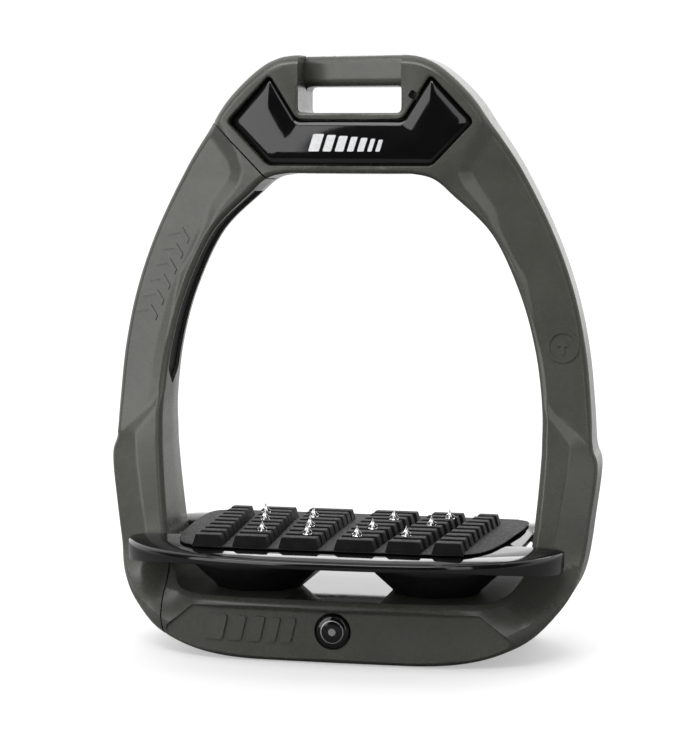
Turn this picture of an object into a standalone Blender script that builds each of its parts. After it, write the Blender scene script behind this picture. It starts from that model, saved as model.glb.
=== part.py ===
"""Stirrup iron: a moulded frame, a release arm hinged at its foot and latched at its tip,
and a tread plate carried on two elastomer dampers.

Lengths are worked out in millimetres and written to the meshes in metres. +X is to the
rider's right of the front face, -Y is the front, +Z is up. The origin lies on the ground
under the middle of the tread plate. The frame's own centre plane is Y = FRAME_Y, a little
behind the middle of the tread.
"""
import math

import bmesh
import bpy
from mathutils import Vector

MM = 0.001
GAP = 0.3            # clearance between pieces that touch
ROUND_STEPS = 24     # sides of a small round piece

# Overall
HEIGHT = 163.4
FRAME_Y = 7.0
BASE_TOP = 17.5
BASE_HALF_DEPTH = 31.0

# Leather slot
SLOT_WIDTH = 28.6
SLOT_BOTTOM = 147.7
SLOT_TOP = 155.0
BAR_FRONT = (5.7, -2.2)  # Y of the bar's front at its left and right end: it runs aslant
BAR_ROUND = 2.4

# Tread
TRAY_HALF_WIDTH = 61.0
TRAY_HALF_DEPTH = 39.0
TRAY_TOP = 32.5
TRAY_CROWN = 0.6
TRAY_THICKNESS = 3.3
SKIRT_LIP = 0.4
TRAY_EAR_DROP = 4.3      # how much deeper the skirt is round the ears
NOTCH_X = 48.5
NOTCH_HALF_DEPTH = 14.2
NOTCH_FRONT = FRAME_Y - NOTCH_HALF_DEPTH
NOTCH_BACK = FRAME_Y + NOTCH_HALF_DEPTH
PAD_RISE = 0.7
BLOCK_RISE = 2.8

# Dampers and the bolts that guide the tread
DAMPER_X = 25.0
DAMPER_Y = -3.0
DAMPER_TOP_RADIUS = 19.5
DAMPER_FOOT_RADIUS = 12.2
BOLT_RADIUS = 2.5
BOLT_HEAD_RADIUS = 4.6
BUSH_RADIUS = 4.0
BOSS_FOOT = 20.9         # underside of the tray's bosses

# Release arm
HINGE_X = -43.6
HINGE_Z = 7.0
CHEEK_RADIUS = 5.0       # the frame's cheeks are rounded about the hinge
LUG_RADIUS = 3.6
LUG_HALF_WIDTH = 10.0
PIN_RADIUS = 1.6
SPLIT_TOP = (-38.3, 145.3)
SPLIT_INNER = (-23.2, 129.9)
SPLIT_GAP = 0.4
LATCH_X = -29.5
LATCH_Y = 8.0
LATCH_TOP = 149.9
NOSE_RADIUS = 2.1
NOSE_TIP = 132.2
STRIKE_HALF_LENGTH = 7.1
STRIKE_HALF_WIDTH = 6.8
STRIKE_HOLE = (-32.3, -26.8)
LINER_Y = 6.0

# Top cover
COVER_HALF = ((14.8, 145.6), (22.3, 157.4), (33.7, 145.4), (22.6, 133.8))
COVER_FRONT = -3.6
COVER_BACK = 1.6

# Half of the frame's side view, from the middle of the base up the right arm to the
# middle of the bridge: outer point, inner point, half depth at each, rounding of each.
STATIONS = (
    ((0.0, 0.0), (0.0, 17.5), 31.0, 31.0, 5.0, 1.2),
    ((31.0, 0.0), (29.0, 17.5), 30.0, 30.0, 5.0, 1.2),
    ((48.5, 4.0), (43.0, 18.0), 26.5, 25.0, 5.0, 1.4),
    ((58.8, 12.0), (48.4, 21.8), 20.5, 14.2, 4.6, 1.8),
    ((64.0, 23.0), (50.8, 29.5), 12.8, 12.0, 4.0, 2.0),
    ((66.8, 40.0), (52.1, 41.0), 11.2, 10.8, 3.6, 2.0),
    ((67.9, 54.0), (53.0, 54.0), 9.9, 9.9, 3.4, 2.0),
    ((67.2, 58.5), (53.2, 59.0), 9.4, 9.6, 3.2, 2.0),
    ((66.2, 68.0), (53.0, 69.0), 8.4, 8.8, 3.2, 2.0),
    ((64.6, 83.5), (50.9, 84.0), 7.9, 7.9, 3.2, 2.0),
    ((61.2, 99.5), (46.6, 99.2), 7.7, 7.7, 3.2, 2.0),
    ((55.2, 116.0), (39.0, 115.0), 8.0, 8.0, 3.2, 2.0),
    ((46.5, 133.0), (28.3, 125.6), 8.9, 8.9, 3.0, 2.2),
    ((38.3, 145.3), (23.2, 129.9), 9.8, 9.8, 2.6, 2.4),
    ((33.6, 152.0), (17.5, 131.3), 10.0, 10.0, 2.6, 2.6),
    ((27.0, 158.5), (13.0, 131.4), 10.0, 10.0, 3.0, 2.6),
    ((21.5, 162.0), (10.0, 131.4), 10.0, 10.0, 3.6, 2.6),
    ((15.0, 163.4), (7.0, 131.4), 9.8, 9.8, 4.0, 2.6),
    ((0.0, 163.4), (0.0, 131.4), 9.6, 9.6, 4.0, 2.6),
)
STATION_STEPS = 2
CORNER_STEPS = 3

STUDS_HALF = (
    ((6.8, -23.4), (8.7, -11.5), (11.4, 5.1)),
    ((19.7, -21.2), (23.4, -3.2), (26.3, 9.9)),
)
# Columns of grip blocks on one side: inner and outer edge at the front, and at the back.
BLOCK_COLUMNS = (
    ((1.9, 13.0), (2.6, 16.6)),
    ((15.6, 25.6), (19.4, 29.8)),
    ((28.0, 36.6), (32.4, 39.4)),
)
BLOCK_ROWS = 9
BLOCK_FRONT = -31.0
BLOCK_BACK = 22.5


# ---------------------------------------------------------------- materials

def material(name, colour, roughness, metallic=0.0):
    made = bpy.data.materials.new(name)
    made.use_nodes = True
    shader = made.node_tree.nodes["Principled BSDF"]
    shader.inputs["Base Color"].default_value = (*colour, 1.0)
    shader.inputs["Roughness"].default_value = roughness
    shader.inputs["Metallic"].default_value = metallic
    return made


# ---------------------------------------------------------------- mesh helpers

def add_object(name, points, faces, finish, smooth=None):
    """A mesh object from points in millimetres, with its faces turned outward."""
    mesh = bpy.data.meshes.new(name)
    mesh.from_pydata([Vector(point) * MM for point in points], [], faces)
    shape = bmesh.new()
    shape.from_mesh(mesh)
    bmesh.ops.recalc_face_normals(shape, faces=shape.faces)
    shape.to_mesh(mesh)
    shape.free()
    made = bpy.data.objects.new(name, mesh)
    bpy.context.scene.collection.objects.link(made)
    if finish:
        mesh.materials.append(finish)
    if smooth:
        mesh.shade_smooth()
        mesh.set_sharp_from_angle(angle=math.radians(smooth))
    return made


def loft(loops, closed=False):
    """Points and faces that join rings of equal length, capped at both ends unless closed."""
    size = len(loops[0])
    points = [point for loop in loops for point in loop]
    spans = len(loops) if closed else len(loops) - 1
    faces = []
    for ring in range(spans):
        low = ring * size
        high = ((ring + 1) % len(loops)) * size
        for side in range(size):
            after = (side + 1) % size
            faces.append((low + side, low + after, high + after, high + side))
    if not closed:
        last = (len(loops) - 1) * size
        faces.append(tuple(reversed(range(size))))
        faces.append(tuple(range(last, last + size)))
    return points, faces


def merged(parts):
    """Several closed bodies as one list of points and one of faces."""
    points = []
    faces = []
    for some_points, some_faces in parts:
        start = len(points)
        points += some_points
        faces += [tuple(index + start for index in face) for face in some_faces]
    return points, faces


def front_prism(outline, front, back):
    """An outline in the XZ plane, carried along Y."""
    return loft([[(x, y, z) for x, z in outline] for y in (front, back)])


def flat_prism(outline, low, high):
    """An outline in the XY plane, carried along Z."""
    return loft([[(x, y, z) for x, y in outline] for z in (low, high)])


def turned(profile, centre, axis="Z", steps=ROUND_STEPS):
    """A closed round body from (radius, distance along the axis) pairs. The profile runs
    from one end of the axis to the other, or round a bore when its ends join."""
    bored = profile[0] == profile[-1]
    rings = profile[:-1] if bored else profile
    loops = []
    for radius, along in rings:
        loop = []
        for step in range(steps):
            turn = 2.0 * math.pi * step / steps
            across, up = radius * math.cos(turn), radius * math.sin(turn)
            if axis == "Z":
                loop.append((centre[0] + across, centre[1] + up, centre[2] + along))
            else:
                loop.append((centre[0] + across, centre[1] + along, centre[2] + up))
        loops.append(loop)
    return loft(loops, closed=bored)


def tube_profile(inner, outer, low, high):
    return [(outer, low), (outer, high), (inner, high), (inner, low), (outer, low)]


def cutter(name, shape):
    made = add_object(name, *shape, None)
    made.hide_render = True
    made.display_type = "WIRE"
    return made


def add_each(names, shapes, finish, smooth=None, empty=None):
    """One object for each copy of a repeated piece."""
    for name, shape in zip(names, shapes):
        made = add_object(name, *shape, finish, smooth)
        if empty:
            place_under(made, empty)


def combine(target, other, operation="DIFFERENCE"):
    step = target.modifiers.new(other.name, "BOOLEAN")
    step.operation = operation
    step.solver = "EXACT"
    step.object = other


# ---------------------------------------------------------------- frame

def blend(values, share):
    """Catmull-Rom blend of four vectors or numbers."""
    before, start, end, after = values
    return (start * 2.0 + (end - before) * share
            + (before * 2.0 - start * 5.0 + end * 4.0 - after) * share ** 2
            + (start * 3.0 - before - end * 3.0 + after) * share ** 3) * 0.5


def frame_stations():
    """The closed run of stations round the whole frame, from the middle of the base."""
    half = [(Vector(outer), Vector(inner), *sizes) for outer, inner, *sizes in STATIONS]
    left = [(Vector((-outer.x, outer.y)), Vector((-inner.x, inner.y)), *sizes)
            for outer, inner, *sizes in reversed(half[1:-1])]
    ring = half + left
    count = len(ring)
    made = []
    for index in range(count):
        rows = [ring[(index + offset) % count] for offset in (-1, 0, 1, 2)]
        for step in range(STATION_STEPS):
            share = step / STATION_STEPS
            station = [blend(values, share) for values in zip(*rows)]
            station[0].y = min(HEIGHT, max(0.0, station[0].y))
            made.append(station)
    return made


def section(outer, inner, outer_depth, inner_depth, outer_round, inner_round):
    """One cross-section of the frame, its corners rounded by quarter arcs."""
    along = (inner - outer).normalized()
    width = (inner - outer).length
    near, far = outer_round, width - inner_round
    corners = (
        (near, outer_round, outer_depth, -1.0, math.pi, 1.5 * math.pi),
        (far, inner_round, inner_depth, -1.0, 1.5 * math.pi, 2.0 * math.pi),
        (far, inner_round, inner_depth, 1.0, 0.0, 0.5 * math.pi),
        (near, outer_round, outer_depth, 1.0, 0.5 * math.pi, math.pi),
    )
    loop = []
    for middle, radius, half_depth, side, start, end in corners:
        for step in range(CORNER_STEPS + 1):
            turn = start + (end - start) * step / CORNER_STEPS
            across = middle + radius * math.cos(turn)
            deep = side * (half_depth - radius) + radius * math.sin(turn)
            place = outer + along * across
            loop.append((place.x, FRAME_Y + deep, place.y))
    return loop


def frame_ring():
    """The whole outline of frame and arm as one closed band."""
    loops = [section(*station) for station in frame_stations()]
    return loft(loops, closed=True)


def arm_region(gap):
    """Side view of the space that the release arm takes out of the band, grown by gap."""
    slope = (Vector(SPLIT_INNER) - Vector(SPLIT_TOP)).normalized()
    away = Vector((-slope.y, slope.x)) * gap
    top = Vector(SPLIT_TOP) - slope * 14.0 + away
    inner = Vector(SPLIT_INNER) + slope * 6.0 + away
    radius = CHEEK_RADIUS - gap
    seam = HINGE_X - radius
    turns = [math.radians(angle) for angle in range(180, 271, 15)]
    heel = [(HINGE_X + radius * math.cos(turn), HINGE_Z + radius * math.sin(turn))
            for turn in turns]
    far, below = -85.0, -6.0
    return [
        (far, top.y), tuple(top), tuple(inner),
        (inner.x, 40.0), (seam + 2.1, 30.0), (seam + 1.1, 16.6), (seam, 15.0),
        *heel, (HINGE_X, below), (far, below),
    ]


def lug_outline(radius, left):
    """The arm's hinge lug in side view: a half round about the hinge, carried to the left."""
    turns = [math.radians(angle) for angle in range(90, -91, -20)]
    arc = [(HINGE_X + radius * math.cos(turn), HINGE_Z + radius * math.sin(turn))
           for turn in turns]
    return [(left, HINGE_Z + radius)] + arc + [(left, HINGE_Z - radius)]


def front_face_y(x):
    """Y of the base's front face, read from the stations."""
    stations = STATIONS[:4]
    for (start, _, near, *_), (end, _, far, *_) in zip(stations, stations[1:]):
        if start[0] <= abs(x) <= end[0]:
            share = (abs(x) - start[0]) / (end[0] - start[0])
            return FRAME_Y - (near + (far - near) * share)
    return FRAME_Y - stations[-1][2]


def panel_cutter():
    """The shallow panel sunk in the front of the base, with a sloping upper edge."""
    depth, slope = 1.3, 1.8
    loops = []
    for x in (-47.3, -43.4, -39.5, -26.0, -13.0, 0.0, 13.0, 26.0, 39.5, 43.4, 47.3):
        top = 14.0 - max(0.0, abs(x) - 39.5) * 6.5 / 7.8
        face = front_face_y(x)
        loops.append([(x, face + depth, -5.0), (x, face + depth, top),
                      (x, face - 8.0, top + slope * (8.0 + depth)), (x, face - 8.0, -5.0)])
    return loft(loops)


def cover_outline(grow):
    """Wing-shaped outline of the top cover, grown by a margin."""
    right = [Vector(point) for point in COVER_HALF]
    outline = right + [Vector((-point.x, point.y)) for point in reversed(right)]
    made = []
    for index, here in enumerate(outline):
        before = (here - outline[index - 1]).normalized()
        after = (outline[(index + 1) % len(outline)] - here).normalized()
        out_before = Vector((-before.y, before.x))
        out_after = Vector((-after.y, after.x))
        mitre = (out_before + out_after).normalized()
        made.append(tuple(here + mitre * (grow / max(0.4, mitre.dot(out_before)))))
    return made


def slot_profile(bar_front):
    """Side view of the leather slot and of the room in front of the bar over it."""
    front, back, above = FRAME_Y - 16.0, FRAME_Y + 14.0, HEIGHT + 6.0
    middle = bar_front + BAR_ROUND
    profile = [(front, SLOT_BOTTOM), (back, SLOT_BOTTOM), (back, SLOT_TOP)]
    for centre_z, start in ((SLOT_TOP + BAR_ROUND, 270), (HEIGHT - BAR_ROUND, 180)):
        for angle in range(start, start - 91, -30):
            turn = math.radians(angle)
            profile.append((middle + BAR_ROUND * math.cos(turn),
                            centre_z + BAR_ROUND * math.sin(turn)))
    return profile + [(middle, above), (front, above)]


def slot_cutter():
    """The slot, between the left and right ends of its slanting bar."""
    half = SLOT_WIDTH / 2.0
    ends = zip((-half, half), BAR_FRONT)
    return loft([[(x, y, z) for y, z in slot_profile(bar_front)] for x, bar_front in ends])


def bolt_holes():
    """Bush bores and, under them, counterbores for the washers and bolt heads."""
    profile = [(BOLT_HEAD_RADIUS + 1.2, -2.0), (BOLT_HEAD_RADIUS + 1.2, 9.0),
               (BUSH_RADIUS + GAP, 9.0), (BUSH_RADIUS + GAP, BASE_TOP + 2.0)]
    return merged([turned(profile, (x, DAMPER_Y, 0.0)) for x in (-DAMPER_X, DAMPER_X)])


def latch_bore():
    return turned([(3.8, 127.0), (3.8, LATCH_TOP + 0.4)], (LATCH_X, LATCH_Y, 0.0))


def magnet_holes():
    return merged([turned([(3.3, -1.0), (3.3, 2.6)], (x, 2.0, 146.0), "Y") for x in (-22.5, 22.5)])


def badge_hole():
    profile = [(5.0, -6.0), (5.0, 2.6), (2.2, 2.6), (2.2, 12.0)]
    return turned(profile, (0.0, FRAME_Y - BASE_HALF_DEPTH, 9.2), "Y")


def make_frame(finish):
    frame = add_object("main_frame", *frame_ring(), finish, smooth=35)
    reach = BASE_HALF_DEPTH + 14.0
    arm_space = front_prism(arm_region(SPLIT_GAP / 2.0), FRAME_Y - reach, FRAME_Y + reach)
    lug_low = FRAME_Y - LUG_HALF_WIDTH - GAP
    lug_high = FRAME_Y + LUG_HALF_WIDTH + GAP
    clevis = [(HINGE_X + LUG_RADIUS + 0.5, -6.0), (HINGE_X + LUG_RADIUS + 0.5, 11.0),
              (-60.0, 11.0), (-60.0, -6.0)]
    cuts = (
        ("cut_arm_space", arm_space),
        ("cut_clevis", front_prism(clevis, lug_low, lug_high)),
        ("cut_slot", slot_cutter()),
        ("cut_cover_pocket", front_prism(cover_outline(0.45), FRAME_Y - 14.0, COVER_BACK + 0.5)),
        ("cut_panel", panel_cutter()),
        ("cut_bolts", bolt_holes()),
        ("cut_latch", latch_bore()),
        ("cut_magnets", magnet_holes()),
        ("cut_badge", badge_hole()),
        ("cut_pin", turned([(PIN_RADIUS + 0.1, -13.6), (PIN_RADIUS + 0.1, 21.0),
                            (2.8, 21.0), (2.8, 40.0)], (HINGE_X, FRAME_Y, HINGE_Z), "Y")),
    )
    for name, shape in cuts:
        combine(frame, cutter(name, shape))
    return frame


# ---------------------------------------------------------------- release arm and hinge

def strike_frame():
    """Middle of the arm's tip face, the direction down its slope, and its outward normal."""
    slope = (Vector(SPLIT_INNER) - Vector(SPLIT_TOP)).normalized()
    normal = Vector((-slope.y, slope.x))
    share = (LATCH_X - SPLIT_TOP[0]) / (SPLIT_INNER[0] - SPLIT_TOP[0])
    middle = Vector(SPLIT_TOP).lerp(Vector(SPLIT_INNER), share)
    return middle, slope, normal


def strike_block(half_length, half_width, low, high):
    """A block on the arm's tip face, between two depths measured outward from the face."""
    middle, slope, normal = strike_frame()
    outline = [middle + slope * along + normal * out
               for along, out in ((-half_length, low), (half_length, low),
                                  (half_length, high), (-half_length, high))]
    return front_prism([tuple(point) for point in outline], LATCH_Y - half_width,
                       LATCH_Y + half_width)


def strike_pocket(margin, floor):
    """Upright pocket for the plunger's nose, through the strike and into the arm."""
    left, right = STRIKE_HOLE
    half = 2.4 + margin
    outline = [(left - margin, floor), (right + margin, floor),
               (right + margin, floor + 12.0), (left - margin, floor + 12.0)]
    return front_prism(outline, LATCH_Y - half, LATCH_Y + half)


def tip_round(profile, across):
    """A round body whose axis is the tip face's normal, offset across the arm in Y."""
    middle, slope, normal = strike_frame()
    loops = []
    for radius, out in profile:
        loop = []
        for step in range(16):
            turn = 2.0 * math.pi * step / 16
            place = middle + slope * radius * math.cos(turn) + normal * out
            loop.append((place.x, LATCH_Y + across + radius * math.sin(turn), place.y))
        loops.append(loop)
    return loft(loops)


def liner_path(inset):
    """Points up the inner face of the release arm, from mid height to its tip."""
    made = []
    for outer, inner, *_ in STATIONS[8:13]:
        along = (Vector(outer) - Vector(inner)).normalized()
        place = Vector(inner) + along * inset
        made.append(Vector((-place.x, place.y)))
    return made


def liner_shape(low, high, half_width, margin):
    """A strip that follows the arm's inner face between two depths below it."""
    near = liner_path(low)
    far = liner_path(high)
    near[0] -= (near[1] - near[0]).normalized() * margin
    far[0] -= (far[1] - far[0]).normalized() * margin
    near[-1] += (near[-1] - near[-2]).normalized() * margin
    far[-1] += (far[-1] - far[-2]).normalized() * margin
    loops = []
    for top, bottom in zip(near, far):
        loops.append([(top.x, LINER_Y - half_width, top.y), (top.x, LINER_Y + half_width, top.y),
                      (bottom.x, LINER_Y + half_width, bottom.y),
                      (bottom.x, LINER_Y - half_width, bottom.y)])
    return loft(loops)


def make_release_arm(finish, hinge):
    arm = add_object("release_arm", *frame_ring(), finish, smooth=35)
    reach = BASE_HALF_DEPTH + 14.0
    kept = front_prism(arm_region(-SPLIT_GAP / 2.0), FRAME_Y - reach, FRAME_Y + reach)
    keep = cutter("keep_arm", kept)
    combine(arm, keep, "INTERSECT")
    lug = cutter("add_lug", front_prism(lug_outline(LUG_RADIUS, -53.0),
                                        FRAME_Y - LUG_HALF_WIDTH, FRAME_Y + LUG_HALF_WIDTH))
    combine(arm, lug, "UNION")
    cuts = (
        ("cut_bush_bore", turned([(2.9, -14.0), (2.9, 14.0)],
                                 (HINGE_X, FRAME_Y, HINGE_Z), "Y")),
        ("cut_strike", strike_block(STRIKE_HALF_LENGTH, STRIKE_HALF_WIDTH, -2.1, 3.0)),
        ("cut_pocket", strike_pocket(GAP, NOSE_TIP - 0.7)),
        ("cut_strike_holes", merged([tip_round([(0.95, 1.0), (0.95, -6.0)], across)
                                     for across in (-4.6, 4.6)])),
        ("cut_liner", liner_shape(-1.5, 1.9, 5.0, GAP)),
    )
    for name, shape in cuts:
        combine(arm, cutter(name, shape))
    place_under(arm, hinge)
    return arm


def place_under(piece, empty):
    """Parent a piece to an empty and keep the piece where it is."""
    piece.parent = empty
    piece.matrix_parent_inverse = empty.matrix_world.inverted()


def add_empty(name, place):
    made = bpy.data.objects.new(name, None)
    made.location = Vector(place) * MM
    bpy.context.scene.collection.objects.link(made)
    bpy.context.view_layer.update()
    return made


def make_hinge(steel, bronze, plug_finish, hinge):
    centre = (HINGE_X, FRAME_Y, HINGE_Z)
    pin = [(1.2, -13.3), (PIN_RADIUS, -12.9), (PIN_RADIUS, 21.3), (2.5, 21.3), (2.5, 22.3)]
    add_object("hinge_pin", *turned(pin, centre, "Y"), steel, smooth=40)
    plug = [(2.5, 22.7), (2.5, 24.6), (2.1, 25.0)]
    add_object("pin_plug", *turned(plug, centre, "Y"), plug_finish, smooth=40)
    inner, outer = PIN_RADIUS + 0.1, 2.9 - 0.1
    sleeves = [turned(tube_profile(inner, outer, *ends), centre, "Y")
               for ends in ((-9.9, -0.6), (0.6, 9.9))]
    add_each(("hinge_bush_front", "hinge_bush_back"), sleeves, bronze, 40, hinge)


def make_latch(steel, bright, brass):
    centre = (LATCH_X, LATCH_Y, 0.0)
    low, ceiling = 140.6, LATCH_TOP - 0.8
    housing = [(3.5, low), (3.5, LATCH_TOP), (0.8, LATCH_TOP), (0.8, ceiling),
               (2.4, ceiling), (2.4, low), (3.5, low)]
    add_object("latch_housing", *turned(housing, centre), brass, smooth=40)
    round_centre = NOSE_TIP + NOSE_RADIUS
    nose = [(NOSE_RADIUS * math.cos(turn), round_centre - NOSE_RADIUS * math.sin(turn))
            for turn in (1.35, 1.0, 0.65, 0.3, 0.0)]
    seat = 141.0
    plunger = nose + [(NOSE_RADIUS, 144.0), (1.5, 144.0), (1.5, seat)]
    add_object("latch_plunger", *turned(plunger, centre), bright, smooth=40)
    spring = coil(centre, 1.05, 0.22, seat + 0.2, ceiling - 0.2, 6)
    add_object("latch_spring", *spring, steel, smooth=60)


def coil(centre, radius, wire, low, high, turns, steps=14, sides=6):
    """A compression spring wound about +Z."""
    loops = []
    count = turns * steps
    for index in range(count + 1):
        share = index / count
        turn = 2.0 * math.pi * turns * share
        middle = Vector((radius * math.cos(turn), radius * math.sin(turn),
                         low + wire + (high - low - 2.0 * wire) * share))
        outward = Vector((math.cos(turn), math.sin(turn), 0.0))
        loop = []
        for side in range(sides):
            around = 2.0 * math.pi * side / sides
            place = middle + outward * wire * math.cos(around)
            place += Vector((0.0, 0.0, wire * math.sin(around)))
            loop.append(tuple(Vector(centre) + place))
        loops.append(loop)
    return loft(loops)


def make_strike(steel, screw_finish, hinge):
    block = strike_block(STRIKE_HALF_LENGTH - GAP, STRIKE_HALF_WIDTH - GAP, -1.8, -0.3)
    strike = add_object("latch_strike", *block, steel)
    holes = cutter("cut_screw_seats", merged([
        tip_round([(1.1, -2.5), (1.1, -1.3), (1.7, -0.5), (1.7, 0.6)], across)
        for across in (-4.6, 4.6)]))
    combine(strike, cutter("cut_nose_hole", strike_pocket(0.0, NOSE_TIP - 3.0)))
    combine(strike, holes)
    place_under(strike, hinge)
    shapes = [tip_round([(0.5, -5.6), (0.8, -5.2), (0.8, -1.5), (1.45, -0.7), (1.45, -0.4)], across)
              for across in (-4.6, 4.6)]
    add_each(("strike_screw_front", "strike_screw_back"), shapes, screw_finish, 30, hinge)


def make_liner(finish, hinge):
    liner = add_object("arm_liner", *liner_shape(0.8, 1.6, 4.7, 0.0), finish)
    place_under(liner, hinge)


# ---------------------------------------------------------------- top cover

def make_cover(gloss, steel, magnet, slide):
    outer = cover_outline(0.0)
    rim = cover_outline(-1.3)
    crown = cover_outline(-2.2)
    depths = ((outer, COVER_BACK), (outer, COVER_FRONT + 1.0), (rim, COVER_FRONT + 0.2),
              (crown, COVER_FRONT))
    loops = [[(x, y, z) for x, z in outline] for outline, y in depths]
    cover = add_object("top_cover", *loft(loops), gloss)
    seats = merged([turned([(3.3, COVER_BACK - 1.5), (3.3, COVER_BACK + 1.0)],
                           (x, 0.0, 146.0), "Y") for x in (-22.5, 22.5)])
    combine(cover, cutter("cut_keeper_seats", seats))
    notch = [(17.9, 150.5), (19.9, 151.9), (18.5, 154.2), (16.5, 152.8)]
    combine(cover, cutter("cut_pry_notch", front_prism(notch, -8.0, COVER_FRONT + 1.6)))
    keepers = [turned([(3.0, COVER_BACK - 1.3), (3.0, COVER_BACK - 0.1)],
                      (x, 0.0, 146.0), "Y") for x in (-22.5, 22.5)]
    add_each(("cover_keeper_left", "cover_keeper_right"), keepers, steel, 40, slide)
    place_under(cover, slide)
    discs = [turned([(3.0, 2.4), (3.0, 4.3)], (x, 0.0, 146.0), "Y") for x in (-22.5, 22.5)]
    add_each(("cover_magnet_left", "cover_magnet_right"), discs, magnet, 40)


# ---------------------------------------------------------------- tread

def tray_outline(inset=0.0):
    """Plan of the tread plate: fuller corners at the back, and a notch round each arm."""
    half_width = TRAY_HALF_WIDTH - inset
    half_depth = TRAY_HALF_DEPTH - inset
    notch_x = NOTCH_X - inset
    low, high = NOTCH_FRONT - inset, NOTCH_BACK + inset
    corner = 1.5

    def edge(power, side, last_y, steps=10):
        """Superellipse points from the middle of the front or back to a given Y."""
        last = math.acos((abs(last_y) / half_depth) ** (power / 2.0))
        turns = [last * step / steps for step in range(steps + 1)]
        return [(half_width * math.sin(turn) ** (2.0 / power),
                 side * half_depth * math.cos(turn) ** (2.0 / power)) for turn in turns]

    front = edge(2.65, -1.0, low - 1.8)
    back = edge(5.0, 1.0, high + 1.8)
    notch = [(front[-1][0] - 1.0, low), (notch_x + corner, low), (notch_x, low + corner),
             (notch_x, high - corner), (notch_x + corner, high), (back[-1][0] - 1.0, high)]
    right = front + notch + list(reversed(back))
    left = [(-x, y) for x, y in reversed(right[1:-1])]
    return right + left


def crown_drop(y):
    return TRAY_CROWN * (y / TRAY_HALF_DEPTH) ** 2


def smooth_step(value):
    share = min(1.0, max(0.0, value))
    return share * share * (3.0 - 2.0 * share)


def ear_drop(x, y):
    """How far the skirt hangs below the plate: deeper round the ears, not in the notches."""
    outside = smooth_step((abs(x) - 42.0) / 7.0)
    clear = smooth_step((abs(y - FRAME_Y) - NOTCH_HALF_DEPTH - 0.2) / 2.6)
    return TRAY_EAR_DROP * outside * clear


def make_tray(gloss, slide):
    top = tray_outline(0.5)
    side = tray_outline(0.0)
    inner = tray_outline(2.4)
    under = TRAY_TOP - TRAY_THICKNESS
    loops = [
        [(x, y, TRAY_TOP - crown_drop(y)) for x, y in top],
        [(x, y, TRAY_TOP - 0.5 - crown_drop(y)) for x, y in side],
        [(x, y, under - crown_drop(y) - ear_drop(x, y)) for x, y in side],
        [(x, y, under - crown_drop(y) - ear_drop(x, y)) for x, y in inner],
        [(x, y, under + SKIRT_LIP - crown_drop(y)) for x, y in inner],
    ]
    tray = add_object("tread_tray", *loft(loops), gloss)
    bosses = merged([turned([(4.4, BOSS_FOOT), (4.4, under + 1.5)], (x, DAMPER_Y, 0.0))
                     for x in (-DAMPER_X, DAMPER_X)])
    combine(tray, cutter("add_bosses", bosses), "UNION")
    bores = merged([turned([(3.4, 18.0), (3.4, 29.4)], (x, DAMPER_Y, 0.0))
                    for x in (-DAMPER_X, DAMPER_X)])
    combine(tray, cutter("cut_boss_bores", bores))
    place_under(tray, slide)
    return tray


def pad_outline():
    """Rounded plan of the grip pad: wide rounds at the front, tight ones at the back."""
    front = [(30.0, -31.8), (37.0, -30.0), (41.5, -25.0), (44.2, -14.0), (45.6, 0.0)]
    back = [(46.6, 14.0), (46.4, 26.0), (43.5, 30.4), (38.0, 31.4)]
    right = [(0.0, -32.0)] + front + back
    left = [(-x, y) for x, y in reversed(right) if x > 0.0]
    return right + [(0.0, 31.8)] + left


def block_edges(column, share):
    """Inner and outer X of a column of blocks, part way from the front row to the back."""
    (front_in, front_out), (back_in, back_out) = BLOCK_COLUMNS[column]
    curve = share ** 1.3
    return (front_in + (back_in - front_in) * curve,
            front_out + (back_out - front_out) * curve)


def blocks():
    """Nine rows of tapered blocks in six columns that spread towards the back."""
    made = []
    pitch = (BLOCK_BACK - BLOCK_FRONT) / BLOCK_ROWS
    base = TRAY_TOP + PAD_RISE
    for column in range(len(BLOCK_COLUMNS)):
        for row in range(BLOCK_ROWS):
            low = BLOCK_FRONT + row * pitch
            high = low + pitch - 1.5
            inner, outer = block_edges(column, (row + 0.5) / BLOCK_ROWS)
            drop = crown_drop((low + high) / 2.0)
            for side in (-1.0, 1.0):
                foot = [(side * inner, low), (side * outer, low), (side * outer, high),
                        (side * inner, high)]
                head = [(side * (inner + 1.0), low + 0.7), (side * (outer - 1.0), low + 0.7),
                        (side * (outer - 1.0), high - 0.3), (side * (inner + 1.0), high - 0.3)]
                levels = ((foot, base - drop - 0.45), (head, base - drop + BLOCK_RISE))
                made.append(loft([[(x, y, z) for x, y in outline] for outline, z in levels]))
    return made


def stud_places():
    for column in STUDS_HALF:
        for x, y in column:
            for side in (-1.0, 1.0):
                yield side * x, y


def make_pad(rubber, steel, slide):
    outline = pad_outline()
    middle = (0.0, 0.0)
    loops = []
    for scale, rise in ((1.0, GAP), (1.0, PAD_RISE - 0.25), (0.992, PAD_RISE)):
        loops.append([(x * scale, y * scale, TRAY_TOP + rise - crown_drop(y)) for x, y in outline])
    points, faces = loft(loops)
    size = len(outline)
    faces = faces[:-2]
    for ring, rise in ((0, GAP), (2, PAD_RISE)):
        points.append((*middle, TRAY_TOP + rise))
        centre = len(points) - 1
        for side in range(size):
            faces.append((ring * size + side, ring * size + (side + 1) % size, centre))
    pad = add_object("grip_pad", points, faces, rubber)
    combine(pad, cutter("add_blocks", merged(blocks())), "UNION")
    sockets = merged([turned([(1.6, 33.9), (1.6, 40.0)], (x, y, 0.0), steps=12)
                      for x, y in stud_places()])
    combine(pad, cutter("cut_sockets", sockets))
    place_under(pad, slide)
    shapes = [stud(x, y) for x, y in stud_places()]
    names = [f"grip_stud_{index + 1:02d}" for index in range(len(shapes))]
    add_each(names, shapes, steel, None, slide)


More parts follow.
